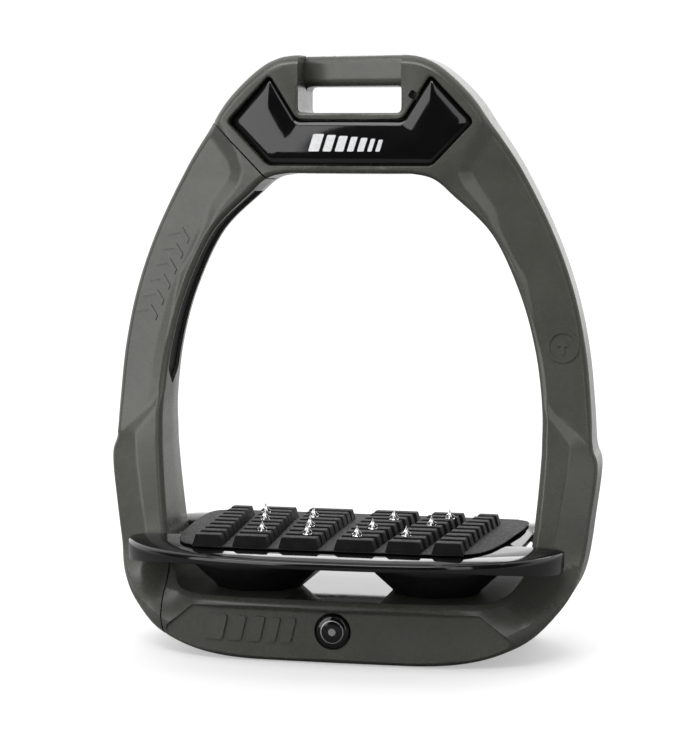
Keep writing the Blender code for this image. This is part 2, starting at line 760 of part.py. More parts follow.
def stud(x, y):
    """A four-pointed spike on a round foot."""
    foot = TRAY_TOP + PAD_RISE + 1.0
    loops = []
    for radius, waist, height in ((1.3, 1.3, foot), (1.3, 1.3, foot + 1.6),
                                  (1.0, 0.6, foot + 2.2), (0.35, 0.22, foot + 3.6)):
        loop = []
        for step in range(16):
            turn = 2.0 * math.pi * step / 16
            lobe = 0.5 + 0.5 * math.cos(4.0 * turn)
            reach = waist + (radius - waist) * lobe
            loop.append((x + reach * math.cos(turn), y + reach * math.sin(turn), height))
        loops.append(loop)
    return loft(loops)


def make_dampers(elastomer):
    low, high = BASE_TOP + GAP, TRAY_TOP - TRAY_THICKNESS - TRAY_CROWN - GAP
    profile = [
        (DAMPER_FOOT_RADIUS - 0.6, low), (DAMPER_FOOT_RADIUS, low + 0.6),
        (13.7, low + 2.4), (17.2, low + 6.2), (18.8, high - 2.2),
        (DAMPER_TOP_RADIUS, high - 1.0), (DAMPER_TOP_RADIUS, high), (4.9, high),
        (4.9, low), (DAMPER_FOOT_RADIUS - 0.6, low),
    ]
    for name, x in (("damper_left", -DAMPER_X), ("damper_right", DAMPER_X)):
        add_object(name, *turned(profile, (x, DAMPER_Y, 0.0), steps=32), elastomer, smooth=40)


def make_guides(steel, plain, brass, slide):
    bolt = [(BOLT_HEAD_RADIUS - 0.4, 5.0), (BOLT_HEAD_RADIUS, 5.4), (BOLT_HEAD_RADIUS, 7.2),
            (BOLT_RADIUS, 7.2), (BOLT_RADIUS, 20.0), (2.0, 20.0), (2.0, 28.6), (1.6, 29.0)]
    washer = tube_profile(BOLT_RADIUS + GAP, 4.9, 7.5, 8.3)
    bush = tube_profile(BOLT_RADIUS + 0.1, BUSH_RADIUS, 8.8, BASE_TOP - 0.1)
    insert = tube_profile(2.1, 3.1, BOSS_FOOT + 0.2, 29.0)
    sets = (("guide_bolt", bolt, steel, slide), ("bolt_washer", washer, plain, slide),
            ("guide_bush", bush, brass, None), ("tread_insert", insert, brass, slide))
    for name, profile, finish, empty in sets:
        shapes = [turned(profile, (x, DAMPER_Y, 0.0)) for x in (-DAMPER_X, DAMPER_X)]
        add_each((f"{name}_left", f"{name}_right"), shapes, finish, 40, empty)


def make_badge(gloss, steel):
    front = FRAME_Y - BASE_HALF_DEPTH
    centre = (0.0, front, 9.2)
    cap = [(3.9, -0.9), (4.5, -0.5), (4.7, 0.1), (4.7, 2.2), (1.9, 2.2), (1.9, 5.2),
           (1.5, 5.2), (1.5, 7.4), (1.8, 7.7), (1.8, 9.6)]
    add_object("badge_cap", *turned(cap, centre, "Y"), gloss, smooth=40)
    clip = tube_profile(1.6, 2.1, 5.5, 7.1)
    add_object("badge_clip", *turned(clip, centre, "Y"), steel, smooth=40)


# ---------------------------------------------------------------- assembly

def clear_scene():
    for obj in list(bpy.data.objects):
        bpy.data.objects.remove(obj, do_unlink=True)


def main():
    clear_scene()
    composite = material("frame_composite", (0.098, 0.098, 0.080), 0.62)
    gloss = material("gloss_black", (0.008, 0.008, 0.009), 0.10)
    rubber = material("grip_rubber", (0.018, 0.018, 0.019), 0.70)
    elastomer = material("elastomer_black", (0.012, 0.012, 0.012), 0.55)
    steel = material("steel", (0.42, 0.42, 0.43), 0.35, 1.0)
    bright = material("bright_steel", (0.72, 0.72, 0.73), 0.18, 1.0)
    brass = material("brass", (0.60, 0.42, 0.18), 0.35, 1.0)
    magnet = material("magnet_nickel", (0.55, 0.54, 0.52), 0.25, 1.0)

    hinge = add_empty("arm_hinge_axis", (HINGE_X, FRAME_Y, HINGE_Z))
    tread = add_empty("tread_slide_axis", (0.0, DAMPER_Y, TRAY_TOP))
    cover = add_empty("cover_slide_axis", (0.0, COVER_FRONT, 146.0))

    make_frame(composite)
    make_release_arm(composite, hinge)
    make_hinge(bright, brass, rubber, hinge)
    make_latch(steel, bright, brass)
    make_strike(steel, bright, hinge)
    make_liner(rubber, hinge)
    make_cover(gloss, steel, magnet, cover)
    make_tray(gloss, tread)
    make_pad(rubber, bright, tread)
    make_dampers(elastomer)
    make_guides(bright, steel, brass, tread)
    make_badge(gloss, steel)


main()
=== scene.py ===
"""Looks of the stirrup iron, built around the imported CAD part.

Lengths are in millimetres until a mesh is made. +X is to the rider's right of the front
face, -Y is the front and +Z is up. The frame's own centre plane is Y = FRAME_Y. Outer
shells, tread, cover and dampers are finer meshes that stand for the CAD solids; the metal
parts inside keep their CAD shape and get a finish.
"""
import math

import bmesh
import bpy
import numpy as np
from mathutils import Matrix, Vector
from mathutils.bvhtree import BVHTree


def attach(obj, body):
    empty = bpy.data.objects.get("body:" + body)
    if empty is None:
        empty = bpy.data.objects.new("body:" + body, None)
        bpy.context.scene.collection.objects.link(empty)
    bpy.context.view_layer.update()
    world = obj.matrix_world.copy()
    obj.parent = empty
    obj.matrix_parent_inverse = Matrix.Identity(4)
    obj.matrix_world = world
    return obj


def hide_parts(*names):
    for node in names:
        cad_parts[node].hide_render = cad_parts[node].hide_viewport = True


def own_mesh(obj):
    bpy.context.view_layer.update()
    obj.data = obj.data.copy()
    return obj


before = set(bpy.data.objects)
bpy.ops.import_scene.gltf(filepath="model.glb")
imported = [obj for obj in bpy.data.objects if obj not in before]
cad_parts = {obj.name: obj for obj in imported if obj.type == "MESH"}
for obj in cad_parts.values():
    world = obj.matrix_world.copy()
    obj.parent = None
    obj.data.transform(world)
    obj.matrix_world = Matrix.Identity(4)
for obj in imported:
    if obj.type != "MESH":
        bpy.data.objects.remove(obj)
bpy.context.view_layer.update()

MM = 0.001
GAP = 0.3            # clearance between pieces that touch

# Overall, as in the CAD
HEIGHT = 163.4
FRAME_Y = 7.0
BASE_TOP = 17.5
BASE_HALF_DEPTH = 31.0
BADGE_Z = 9.2

# Leather slot
SLOT_HALF = 14.3
SLOT_BOTTOM = 147.7
SLOT_TOP = 155.0
BAR_FRONT = (5.7, -2.2)  # Y of the bar's front at its left and right end: it runs aslant
BAR_ROUND = 2.4
BRIDGE_HALF_DEPTH = 9.7

# Tread
TRAY_HALF_WIDTH = 61.0
TRAY_HALF_DEPTH = 39.0
TRAY_TOP = 32.5
TRAY_CROWN = 0.6
TRAY_UNDER = 29.2
TRAY_EAR_DROP = 4.3
NOTCH_X = 48.5
NOTCH_HALF_DEPTH = 14.2
PAD_RISE = 0.7
PAD_TOP = TRAY_TOP + PAD_RISE
BLOCK_RISE = 2.8
BOSS_FOOT = 20.9

# Dampers and the bolts that guide the tread
DAMPER_X = 25.0
DAMPER_Y = -3.0
DAMPER_TOP_RADIUS = 19.5
DAMPER_FOOT_RADIUS = 12.2
BOLT_HEAD_RADIUS = 4.6
BUSH_RADIUS = 4.0

# Release arm
HINGE_X = -43.6
HINGE_Z = 7.0
CHEEK_RADIUS = 5.0
LUG_RADIUS = 3.6
LUG_HALF_WIDTH = 10.0
PIN_RADIUS = 1.6
SPLIT_TOP = Vector((-38.3, 145.3))
SPLIT_INNER = Vector((-23.2, 129.9))
SPLIT_GAP = 0.4
LATCH_X = -29.5
LATCH_Y = 8.0
LATCH_TOP = 149.9
NOSE_TIP = 132.2
STRIKE_HALF_LENGTH = 7.1
STRIKE_HALF_WIDTH = 6.8
STRIKE_HOLE = (-32.3, -26.8)
LINER_Y = 6.0
LINER_LOW = 71.5
LINER_HIGH = 126.5

# Top cover
COVER_HALF = ((14.8, 145.6), (22.3, 157.4), (33.7, 145.4), (22.6, 133.8))
COVER_FRONT = -3.6
COVER_BACK = 1.6
SEAT_X = 22.5        # the magnets' seats in frame and cover
SEAT_Z = 146.0
SEAT_RADIUS = 3.3

# Half of the frame's side view, from the middle of the base up the right arm to the
# middle of the bridge: outer point, inner point, half depth at each, then the size of the
# edge at outer front, inner front, outer back and inner back.
STATIONS = (
    ((0.0, 0.0), (0.0, 17.5), 31.0, 31.0, 5.0, 1.8, 5.0, 1.2),
    ((31.0, 0.5), (29.0, 17.5), 30.0, 30.0, 5.0, 1.8, 5.0, 1.2),
    ((48.5, 5.2), (43.0, 18.0), 26.5, 25.0, 4.6, 1.8, 5.0, 1.4),
    ((58.4, 13.4), (48.4, 21.8), 20.5, 14.2, 2.4, 1.6, 4.6, 1.8),
    ((64.0, 23.0), (50.8, 29.5), 12.8, 12.0, 0.9, 1.6, 4.0, 2.0),
    ((66.8, 40.0), (52.1, 41.0), 11.2, 10.8, 0.7, 1.6, 3.6, 2.0),
    ((68.2, 52.4), (53.0, 53.0), 10.0, 9.9, 0.7, 1.6, 3.4, 2.0),
    ((66.8, 58.2), (53.2, 59.0), 9.4, 9.6, 0.9, 1.6, 3.2, 2.0),
    ((66.2, 68.0), (53.0, 69.0), 8.4, 8.8, 1.3, 1.6, 3.2, 2.0),
    ((64.6, 83.5), (50.9, 84.0), 7.9, 7.9, 1.4, 1.6, 3.2, 2.0),
    ((61.2, 99.5), (46.6, 99.2), 7.7, 7.7, 1.4, 1.6, 3.2, 2.0),
    ((55.2, 116.0), (39.0, 115.0), 8.0, 8.0, 1.4, 1.6, 3.2, 2.0),
    ((46.5, 133.0), (28.3, 125.6), 8.9, 8.9, 1.5, 1.5, 3.0, 2.2),
    ((38.3, 145.3), (23.2, 129.9), 9.8, 9.8, 1.7, 1.3, 2.6, 2.4),
    ((33.6, 152.0), (17.5, 131.3), 10.0, 10.0, 2.0, 1.2, 2.6, 2.6),
    ((27.0, 158.5), (13.0, 131.4), 10.0, 10.0, 2.2, 1.2, 3.0, 2.6),
    ((21.5, 162.0), (10.0, 131.4), 10.0, 10.0, 2.4, 1.2, 3.6, 2.6),
    ((15.0, 163.4), (7.0, 131.4), 9.8, 9.8, 2.6, 1.2, 4.0, 2.6),
    ((0.0, 163.4), (0.0, 131.4), 9.6, 9.6, 2.6, 1.2, 4.0, 2.6),
)
STATION_STEPS = 12
EDGE_STEPS = 6
FACE_STEPS = 44
SIDE_STEPS = 9

# The crease that winds down the front of each arm, as |X| and Z from the bridge down.
CREASE = ((38.4, 150.0), (35.8, 145.0), (31.2, 136.6), (29.9, 131.8), (31.1, 128.1),
          (37.3, 120.7), (43.0, 108.4), (46.5, 103.1), (49.8, 86.8), (51.9, 70.4),
          (54.3, 66.8), (60.8, 58.7), (60.2, 50.6), (57.3, 31.7), (55.6, 20.0))
CREASE_CORNER_Z = 58.7
BEVEL_SLOPE = 0.36
PANEL_DROP = 0.75
PANEL_SLOPE = 0.09

STUDS_HALF = (
    ((6.8, -23.4), (8.7, -11.5), (11.4, 5.1)),
    ((19.7, -21.2), (23.4, -3.2), (26.3, 9.9)),
)
# Columns of grip blocks on one side: inner and outer edge at the front, and at the back.
BLOCK_COLUMNS = (
    ((1.9, 13.0), (2.6, 16.6)),
    ((15.6, 25.6), (19.4, 29.8)),
    ((28.0, 36.6), (32.4, 39.4)),
)
BLOCK_ROWS = 9
BLOCK_FRONT = -31.0
BLOCK_BACK = 22.5

# The part of a noise's range that colour and roughness follow
TONE_RANGE = (0.35, 0.65)
ROUGH_RANGE = (0.3, 0.7)

# Stage
FLOOR_HALF = 6000.0
FLOOR_FRONT = 200.0
FLOOR_DEPTH = 20.0
FLOOR_DROP = 0.05
SKY = ((0.0, 0.04), (0.32, 0.05), (0.46, 0.40), (0.56, 1.25), (0.90, 1.3), (1.0, 1.65))
BACKDROP = 1.05
LIGHT_AIM = (0.0, FRAME_Y, 80.0)
# Name, azimuth and elevation in degrees, distance, width and height in metres, watts
SOFTBOXES = (
    ("left_softbox", -34.0, 12.0, 1.2, 0.73, 1.2, 7.5),
    ("right_softbox", 28.0, 15.0, 1.3, 0.30, 1.1, 2.0),
    ("top_softbox", -15.0, 55.0, 1.2, 1.1, 0.6, 10.5),
    ("back_softbox", 170.0, 40.0, 1.2, 1.2, 0.3, 5.0),
)
CAMERA_LENS = 122.3
CAMERA_AIM = (-1.55, FRAME_Y, 75.5)
CAMERA_ANGLES = (11.77, 5.53, 0.15)  # azimuth, elevation and roll
CAMERA_DISTANCE = 660.2


# ---------------------------------------------------------------- materials

def add_node(tree, kind, **values):
    """A shader node with some inputs set; an underscore in a name stands for a space."""
    made = tree.nodes.new("ShaderNode" + kind)
    for name, value in values.items():
        made.inputs[name.replace("_", " ")].default_value = value
    return made


class Finish:
    """A Principled material whose texture is built from noise in object space."""

    def __init__(self, name, metallic=0.0, specular=0.5):
        self.material = bpy.data.materials.new(name)
        self.material.use_nodes = True
        self.tree = self.material.node_tree
        self.shader = self.tree.nodes["Principled BSDF"]
        self.shader.inputs["Metallic"].default_value = metallic
        self.shader.inputs["Specular IOR Level"].default_value = specular
        self.place = add_node(self.tree, "TexCoord").outputs["Object"]

    def noise(self, grain, detail=3.0, stretch=None):
        """Noise with grains of the given size in millimetres, drawn out along an axis."""
        made = add_node(self.tree, "TexNoise", Scale=1.0 / (grain * MM), Detail=detail)
        place = self.place
        if stretch:
            turn = add_node(self.tree, "Mapping", Scale=stretch)
            self.tree.links.new(place, turn.inputs["Vector"])
            place = turn.outputs["Vector"]
        self.tree.links.new(place, made.inputs["Vector"])
        return made.outputs["Fac"]

    def colour(self, dark, light, source):
        """Base colour between two tones, following the middle of a noise's range."""
        ramp = add_node(self.tree, "ValToRGB")
        elements = ramp.color_ramp.elements
        for element, position, tone in zip(elements, TONE_RANGE, (dark, light)):
            element.position = position
            element.color = (*tone, 1.0)
        self.tree.links.new(source, ramp.inputs["Fac"])
        self.tree.links.new(ramp.outputs["Color"], self.shader.inputs["Base Color"])

    def roughness(self, low, high, source):
        """Roughness between two values, following a noise."""
        spread = add_node(self.tree, "MapRange", From_Min=ROUGH_RANGE[0],
                          From_Max=ROUGH_RANGE[1], To_Min=low, To_Max=high)
        self.tree.links.new(source, spread.inputs["Value"])
        self.tree.links.new(spread.outputs["Result"], self.shader.inputs["Roughness"])

    def bump(self, depth, source):
        """Bump of the given depth in millimetres, following a noise."""
        made = add_node(self.tree, "Bump", Strength=1.0, Distance=depth * MM)
        self.tree.links.new(source, made.inputs["Height"])
        self.tree.links.new(made.outputs["Normal"], self.shader.inputs["Normal"])


def textured(name, tones, tone_noise, roughness, rough_noise, bump=None, **surface):
    """A finish with two tones, two roughnesses and a bump, given as depth and noise."""
    made = Finish(name, **surface)
    made.colour(*tones, made.noise(*tone_noise))
    made.roughness(*roughness, made.noise(*rough_noise))
    if bump:
        made.bump(bump[0], made.noise(*bump[1:]))
    return made


def metal(name, dark, light, roughness, grain, stretch=None):
    """Machined or polished metal: brushed lines or a fine grain in its roughness."""
    return textured(name, (dark, light), (4.0, 3.0, stretch), roughness,
                    (grain, 3.0, stretch), (0.002, grain, 2.0, stretch), metallic=1.0)


def make_finishes():
    """The materials of the object's pieces, by a short name."""
    nylon = ((0.066, 0.066, 0.057), (0.076, 0.076, 0.066))
    clouds = (14.0, 2.0)
    made = {
        # Matt olive-grey glass-filled nylon, and the same on the base's deck, where the
        # mould was polished or left rough.
        "composite": textured("frame_composite_look", nylon, clouds, (0.24, 0.30), (2.2,),
                              (0.0016, 2.5, 1.0)),
        "polished": textured("polished_deck_look", nylon, clouds, (0.03, 0.06), (2.0,),
                             specular=1.0),
        "rough": textured("rough_deck_look", nylon, clouds, (0.6, 0.7), (2.0,),
                          specular=0.15),
        # Polished black plastic, with very faint clouds under the gloss.
        "gloss": textured("gloss_black_look",
                          ((0.0035, 0.0035, 0.0040), (0.0055, 0.0055, 0.0058)),
                          (9.0, 2.0), (0.06, 0.11), (2.4,), (0.0010, 2.0, 1.0)),
        # Grip rubber with a powdery grain, and damper rubber with a satin skin.
        "rubber": textured("grip_rubber_look",
                           ((0.0030, 0.0030, 0.0032), (0.0058, 0.0058, 0.0060)),
                           (3.0,), (0.46, 0.66), (0.8,), (0.008, 0.3, 2.0), specular=0.09),
        "elastomer": textured("elastomer_look",
                              ((0.0045, 0.0045, 0.0046), (0.0080, 0.0080, 0.0080)),
                              (5.0,), (0.38, 0.55), (1.6,), (0.006, 0.5, 2.0),
                              specular=0.35),
        "print": textured("white_print_look", ((0.74, 0.74, 0.75), (0.86, 0.86, 0.87)),
                          (0.8,), (0.3, 0.5), (0.5,), (0.002, 0.3, 2.0)),
        "bright": metal("bright_steel_look", (0.66, 0.66, 0.67), (0.78, 0.78, 0.79),
                        (0.10, 0.20), 0.6),
        "steel": metal("steel_look", (0.38, 0.38, 0.39), (0.50, 0.50, 0.51),
                       (0.28, 0.42), 0.4, (1.0, 0.15, 1.0)),
        "brass": metal("brass_look", (0.55, 0.38, 0.16), (0.66, 0.47, 0.21),
                       (0.25, 0.4), 0.5),
        "nickel": metal("nickel_look", (0.52, 0.50, 0.47), (0.60, 0.59, 0.56),
                        (0.18, 0.3), 0.7),
    }
    return {name: finish.material for name, finish in made.items()}


# ---------------------------------------------------------------- mesh helpers

def add_mesh(name, points, faces, finish=None, smooth=35):
    """A mesh object from points in millimetres, with its faces turned outward."""
    mesh = bpy.data.meshes.new(name)
    mesh.from_pydata([Vector(point) * MM for point in points], [], faces)
    shape = bmesh.new()
    shape.from_mesh(mesh)
    bmesh.ops.recalc_face_normals(shape, faces=shape.faces)
    if shape.calc_volume(signed=True) < 0.0:
        bmesh.ops.reverse_faces(shape, faces=shape.faces)
    shape.to_mesh(mesh)
    shape.free()
    made = bpy.data.objects.new(name, mesh)
    bpy.context.scene.collection.objects.link(made)
    if finish:
        mesh.materials.append(finish)
    shade(made, smooth)
    return made


def shade(piece, angle):
    """Smooth shading, with edges sharper than the angle in degrees left crisp."""
    piece.data.shade_smooth()
    piece.data.set_sharp_from_angle(angle=math.radians(angle))


def loft(loops, closed=False):
    """Points and faces that join rings of equal length, capped at both ends unless closed."""
    size = len(loops[0])
    points = [point for loop in loops for point in loop]
    spans = len(loops) if closed else len(loops) - 1
    faces = []
    for ring in range(spans):
        low = ring * size
        high = ((ring + 1) % len(loops)) * size
        for side in range(size):
            after = (side + 1) % size
            faces.append((low + side, low + after, high + after, high + side))
    if not closed:
        last = (len(loops) - 1) * size
        faces.append(tuple(reversed(range(size))))
        faces.append(tuple(range(last, last + size)))
    return points, faces


def merged(parts):
    """Several closed bodies as one list of points and one of faces."""
    points = []
    faces = []
    for some_points, some_faces in parts:
        start = len(points)
        points += some_points
        faces += [tuple(index + start for index in face) for face in some_faces]
    return points, faces


def front_prism(outline, front, back):
    """An outline in the XZ plane, carried along Y."""
    return loft([[(x, y, z) for x, z in outline] for y in (front, back)])


def turned(profile, centre, axis="Z", steps=48):
    """A closed round body from (radius, distance along the axis) pairs. The profile runs
    from one end of the axis to the other, or round a bore when its ends join."""
    bored = profile[0] == profile[-1]
    rings = profile[:-1] if bored else profile
    loops = []
    for radius, along in rings:
        loop = []
        for step in range(steps):
            turn = 2.0 * math.pi * step / steps
            across, up = radius * math.cos(turn), radius * math.sin(turn)
            if axis == "Z":
                loop.append((centre[0] + across, centre[1] + up, centre[2] + along))
            else:
                loop.append((centre[0] + across, centre[1] + along, centre[2] + up))
        loops.append(loop)
    return loft(loops, closed=bored)


def pair(profile, place, axis="Z"):
    """The same turned body at a place and at its mirror image across X = 0."""
    x, y, z = place
    return merged([turned(profile, (side * x, y, z), axis) for side in (-1.0, 1.0)])


def rounded(outline, radius, steps=5):
    """An outline with each corner replaced by a curve that starts radius away from it."""
    made = []
    count = len(outline)
    for index, corner in enumerate(outline):
        here = Vector(corner)
        before = Vector(outline[index - 1]) - here
        after = Vector(outline[(index + 1) % count]) - here
        start = here + before.normalized() * min(radius, before.length * 0.45)
        end = here + after.normalized() * min(radius, after.length * 0.45)
        for step in range(steps + 1):
            share = step / steps
            made.append(tuple(start.lerp(here, share).lerp(here.lerp(end, share), share)))
    return made


def cut(target, shapes, operation="DIFFERENCE"):
    """Apply each closed shape to the target as a Boolean, one after the other."""
    for shape in shapes:
        tool = add_mesh("tool", *shape)
        step = target.modifiers.new("cut", "BOOLEAN")
        step.operation = operation
        step.solver = "EXACT"
        step.object = tool
        bake(target)
        bpy.data.objects.remove(tool)


def bake(target):
    """Replace the target's mesh by what its modifiers make of it."""
    graph = bpy.context.evaluated_depsgraph_get()
    made = bpy.data.meshes.new_from_object(target.evaluated_get(graph))
    old = target.data
    target.modifiers.clear()
    target.data = made
    bpy.data.meshes.remove(old)


def tidy_normals(piece, angle=30):
    """Smooth shading with crisp edges, each face's weight following its area."""
    shade(piece, angle)
    step = piece.modifiers.new("weights", "WEIGHTED_NORMAL")
    step.keep_sharp = True
    bake(piece)


def slice_mesh(piece, axis, places):
    """Cut the mesh along planes, so that a flat face can be bent afterwards."""
    shape = bmesh.new()
    shape.from_mesh(piece.data)
    normal = Vector((0.0, 0.0, 0.0))
    normal[axis] = 1.0
    for place in places:
        everything = shape.verts[:] + shape.edges[:] + shape.faces[:]
        bmesh.ops.bisect_plane(shape, geom=everything, plane_co=normal * place * MM,
                               plane_no=normal, dist=1e-7)
    shape.to_mesh(piece.data)
    shape.free()


def bend(piece, shift):
    """Move each vertex by what shift(x, y, z) says, all in millimetres."""
    for vertex in piece.data.vertices:
        x, y, z = vertex.co / MM
        vertex.co += Vector(shift(x, y, z)) * MM
    piece.data.update()


def smooth_step(value):
    """An S-shaped rise from 0 to 1 as the value goes from 0 to 1."""
    share = min(1.0, max(0.0, value))
    return share * share * (3.0 - 2.0 * share)


def install(piece, body, slot, *cad_nodes):
    """Tie a piece to its CAD body and hide the CAD nodes that it stands for; slot is not used."""
    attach(piece, body)
    if cad_nodes:
        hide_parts(*cad_nodes)


# ---------------------------------------------------------------- frame band

def blend(values, share):
    """Catmull-Rom blend of four vectors or numbers."""
    before, start, end, after = values
    return (start * 2.0 + (end - before) * share
            + (before * 2.0 - start * 5.0 + end * 4.0 - after) * share ** 2
            + (start * 3.0 - before - end * 3.0 + after) * share ** 3) * 0.5


def frame_stations():
    """The closed run of stations round the whole frame, from the middle of the base."""
    half = [(Vector(outer), Vector(inner), *sizes) for outer, inner, *sizes in STATIONS]
    left = [(Vector((-outer.x, outer.y)), Vector((-inner.x, inner.y)), *sizes)
            for outer, inner, *sizes in reversed(half[1:-1])]
    ring = half + left
    count = len(ring)
    made = []
    for index in range(count):
        rows = [ring[(index + offset) % count] for offset in (-1, 0, 1, 2)]
        for step in range(STATION_STEPS):
            station = [blend(values, step / STATION_STEPS) for values in zip(*rows)]
            station[0].y = min(HEIGHT, max(0.0, station[0].y))
            made.append(station)
    return made


def edge_curve(middle, radii, start, power):
    """A quarter of a superellipse from an angle in degrees: 2 is round, 1 a plain chamfer."""
    made = []
    for step in range(EDGE_STEPS + 1):
        turn = math.radians(start + 90.0 * step / EDGE_STEPS)
        across, deep = math.cos(turn), math.sin(turn)
        made.append((middle[0] + radii[0] * math.copysign(abs(across) ** (2.0 / power), across),
                     middle[1] + radii[1] * math.copysign(abs(deep) ** (2.0 / power), deep)))
    return made


def between(start, end, steps, swell=0.0, peak=0.5):
    """Points strictly between two others, swollen across into a low ridge at its peak."""
    made = []
    for step in range(1, steps):
        share = step / steps
        rise = share / peak if share < peak else (1.0 - share) / (1.0 - peak)
        made.append((start[0] + (end[0] - start[0]) * share + swell * rise,
                     start[1] + (end[1] - start[1]) * share))
    return made


def section(outer, inner, outer_depth, inner_depth, *edges):
    """One cross-section of the frame: chamfered in front, rounded at the back. Each point
    comes with how much of the front relief it takes."""
    outer_front, inner_front, outer_back, inner_back = edges
    along = (inner - outer).normalized()
    width = (inner - outer).length
    front_power, back_power, flatness = 1.35, 2.0, 0.78
    lower_power = front_power + 0.6 * smooth_step((outer_front - 2.6) / 2.0)
    curves = (
        edge_curve((outer_front, outer_front - outer_depth), (outer_front, outer_front),
                   180.0, lower_power),
        edge_curve((width - inner_front, inner_front * flatness - inner_depth),
                   (inner_front, inner_front * flatness), 270.0, front_power),
        edge_curve((width - inner_back, inner_depth - inner_back), (inner_back, inner_back),
                   0.0, back_power),
        edge_curve((outer_back, outer_depth - outer_back), (outer_back, outer_back),
                   90.0, back_power),
    )
    profile = []
    joins = ((FACE_STEPS, 0.0), (SIDE_STEPS, 0.35), (SIDE_STEPS, 0.0), (SIDE_STEPS, 0.0))
    for index, curve in enumerate(curves):
        steps, swell = joins[index]
        profile += curve
        profile += between(curve[-1], curves[(index + 1) % 4][0], steps, swell, 0.62)
    loop = []
    for across, deep in profile:
        place = outer + along * across
        share = min(1.0, max(0.0, -deep / outer_depth))
        loop.append((place.x, FRAME_Y + deep, place.y, share))
    return loop


def crease_distance(places):
    """Distance of each |X|, Z place outward of the crease; negative on its inner side."""
    nearest = np.full(len(places), 1e9)
    for start, end in zip(CREASE, CREASE[1:]):
        start, end = np.array(start), np.array(end)
        run = end - start
        share = np.clip(((places - start) @ run) / (run @ run), 0.0, 1.0)
        gap = places - (start + share[:, None] * run)
        nearest = np.minimum(nearest, np.hypot(gap[:, 0], gap[:, 1]))
    heights = [point[1] for point in reversed(CREASE)]
    reach = [point[0] for point in reversed(CREASE)]
    outside = places[:, 0] > np.interp(places[:, 1], heights, reach)
    return np.where(outside, nearest, -nearest)


def front_relief(places):
    """How far the front face falls back at each |X|, Z place: a bevel outward of the crease
    and, above the crease's low corner, a sunk panel beyond the bevel."""
    total = np.zeros(len(places))
    soften, corner_x = 0.3, 60.8
    offsets = [(0.0, 0.0)] + [(soften * math.cos(turn), soften * math.sin(turn))
                              for turn in np.linspace(0.0, 2.0 * math.pi, 6, endpoint=False)]
    inner_x, inner_z = zip(*(station[1] for station in STATIONS[3:14]))
    for offset in offsets:
        spots = places + np.array(offset)
        out = crease_distance(spots)
        bevel = BEVEL_SLOPE * np.maximum(out, 0.0)
        from_inner = spots[:, 0] - np.interp(spots[:, 1], inner_z, inner_x)
        panel = PANEL_DROP + PANEL_SLOPE * np.maximum(from_inner - 4.5, 0.0)
        diagonal = CREASE_CORNER_Z + 3.2 - 0.55 * (spots[:, 0] - corner_x)
        upper = spots[:, 1] > diagonal
        total += np.where(upper & (out > 0.0), np.minimum(bevel, panel), bevel)
    fade = np.clip((places[:, 1] - 20.0) / 9.0, 0.0, 1.0)
    return total / len(offsets) * fade * fade * (3.0 - 2.0 * fade)


def frame_ring():
    """The whole outline of frame and arm as one closed band with its front relief."""
    loops = [section(*station) for station in frame_stations()]
    points, faces = loft(loops, closed=True)
    table = np.array(points)
    places = np.column_stack((np.abs(table[:, 0]), table[:, 2]))
    table[:, 1] += front_relief(places) * table[:, 3]
    return [tuple(row[:3]) for row in table], faces


def arm_region(gap):
    """Side view of the space that the release arm takes out of the band, grown by gap."""
    slope = (SPLIT_INNER - SPLIT_TOP).normalized()
    away = Vector((-slope.y, slope.x)) * gap
    top = SPLIT_TOP - slope * 14.0 + away
    inner = SPLIT_INNER + slope * 6.0 + away
    radius = CHEEK_RADIUS - gap
    seam = HINGE_X - radius
    turns = [math.radians(angle) for angle in range(180, 271, 9)]
    heel = [(HINGE_X + radius * math.cos(turn), HINGE_Z + radius * math.sin(turn))
            for turn in turns]
    far, below = -85.0, -6.0
    return [
        (far, top.y), tuple(top), tuple(inner),
        (inner.x, 40.0), (seam - 0.6, 34.0), (seam - 1.6, 24.0), (seam - 0.9, 14.0),
        *heel, (HINGE_X, below), (far, below),
    ]


def arm_space(gap):
    """The room of the release arm as a solid, deeper than the whole frame."""
    reach = BASE_HALF_DEPTH + 14.0
    return front_prism(arm_region(gap), FRAME_Y - reach, FRAME_Y + reach)


# ---------------------------------------------------------------- main frame

def front_face_y(x):
    """Y of the base's front face, read from the stations."""
    stations = STATIONS[:4]
    for (start, _, near, *_), (end, _, far, *_) in zip(stations, stations[1:]):
        if start[0] <= abs(x) <= end[0]:
            share = (abs(x) - start[0]) / (end[0] - start[0])
            return FRAME_Y - (near + (far - near) * share)
    return FRAME_Y - stations[-1][2]


def panel_cutter():
    """The shallow panel sunk in the front of the base, with a sloping upper edge."""
    depth, slope, flat = 1.3, 0.9, 0.5
    high, low, front = 14.0, -5.0, 8.0
    straight, taper, fall = 39.5, 7.8, 6.5
    right = (13.0, 26.0, 32.0, straight, 43.4, straight + taper)
    loops = []
    for x in (*[-x for x in reversed(right)], 0.0, *right):
        top = high - max(0.0, abs(x) - straight) * fall / taper
        face = front_face_y(x)
        loops.append([(x, face + depth, low), (x, face + depth, top - flat),
                      (x, face + depth - flat * 0.35, top + flat * 0.4),
                      (x, face - front, top + slope * (front + depth)),
                      (x, face - front, low)])
    return loft(loops)


def cover_outline(grow):
    """Wing-shaped outline of the top cover, grown by a margin."""
    right = [Vector(point) for point in COVER_HALF]
    outline = right + [Vector((-point.x, point.y)) for point in reversed(right)]
    made = []
    for index, here in enumerate(outline):
        before = (here - outline[index - 1]).normalized()
        after = (outline[(index + 1) % len(outline)] - here).normalized()
        out_before = Vector((-before.y, before.x))
        out_after = Vector((-after.y, after.x))
        mitre = (out_before + out_after).normalized()
        made.append(tuple(here + mitre * (grow / max(0.4, mitre.dot(out_before)))))
    return made


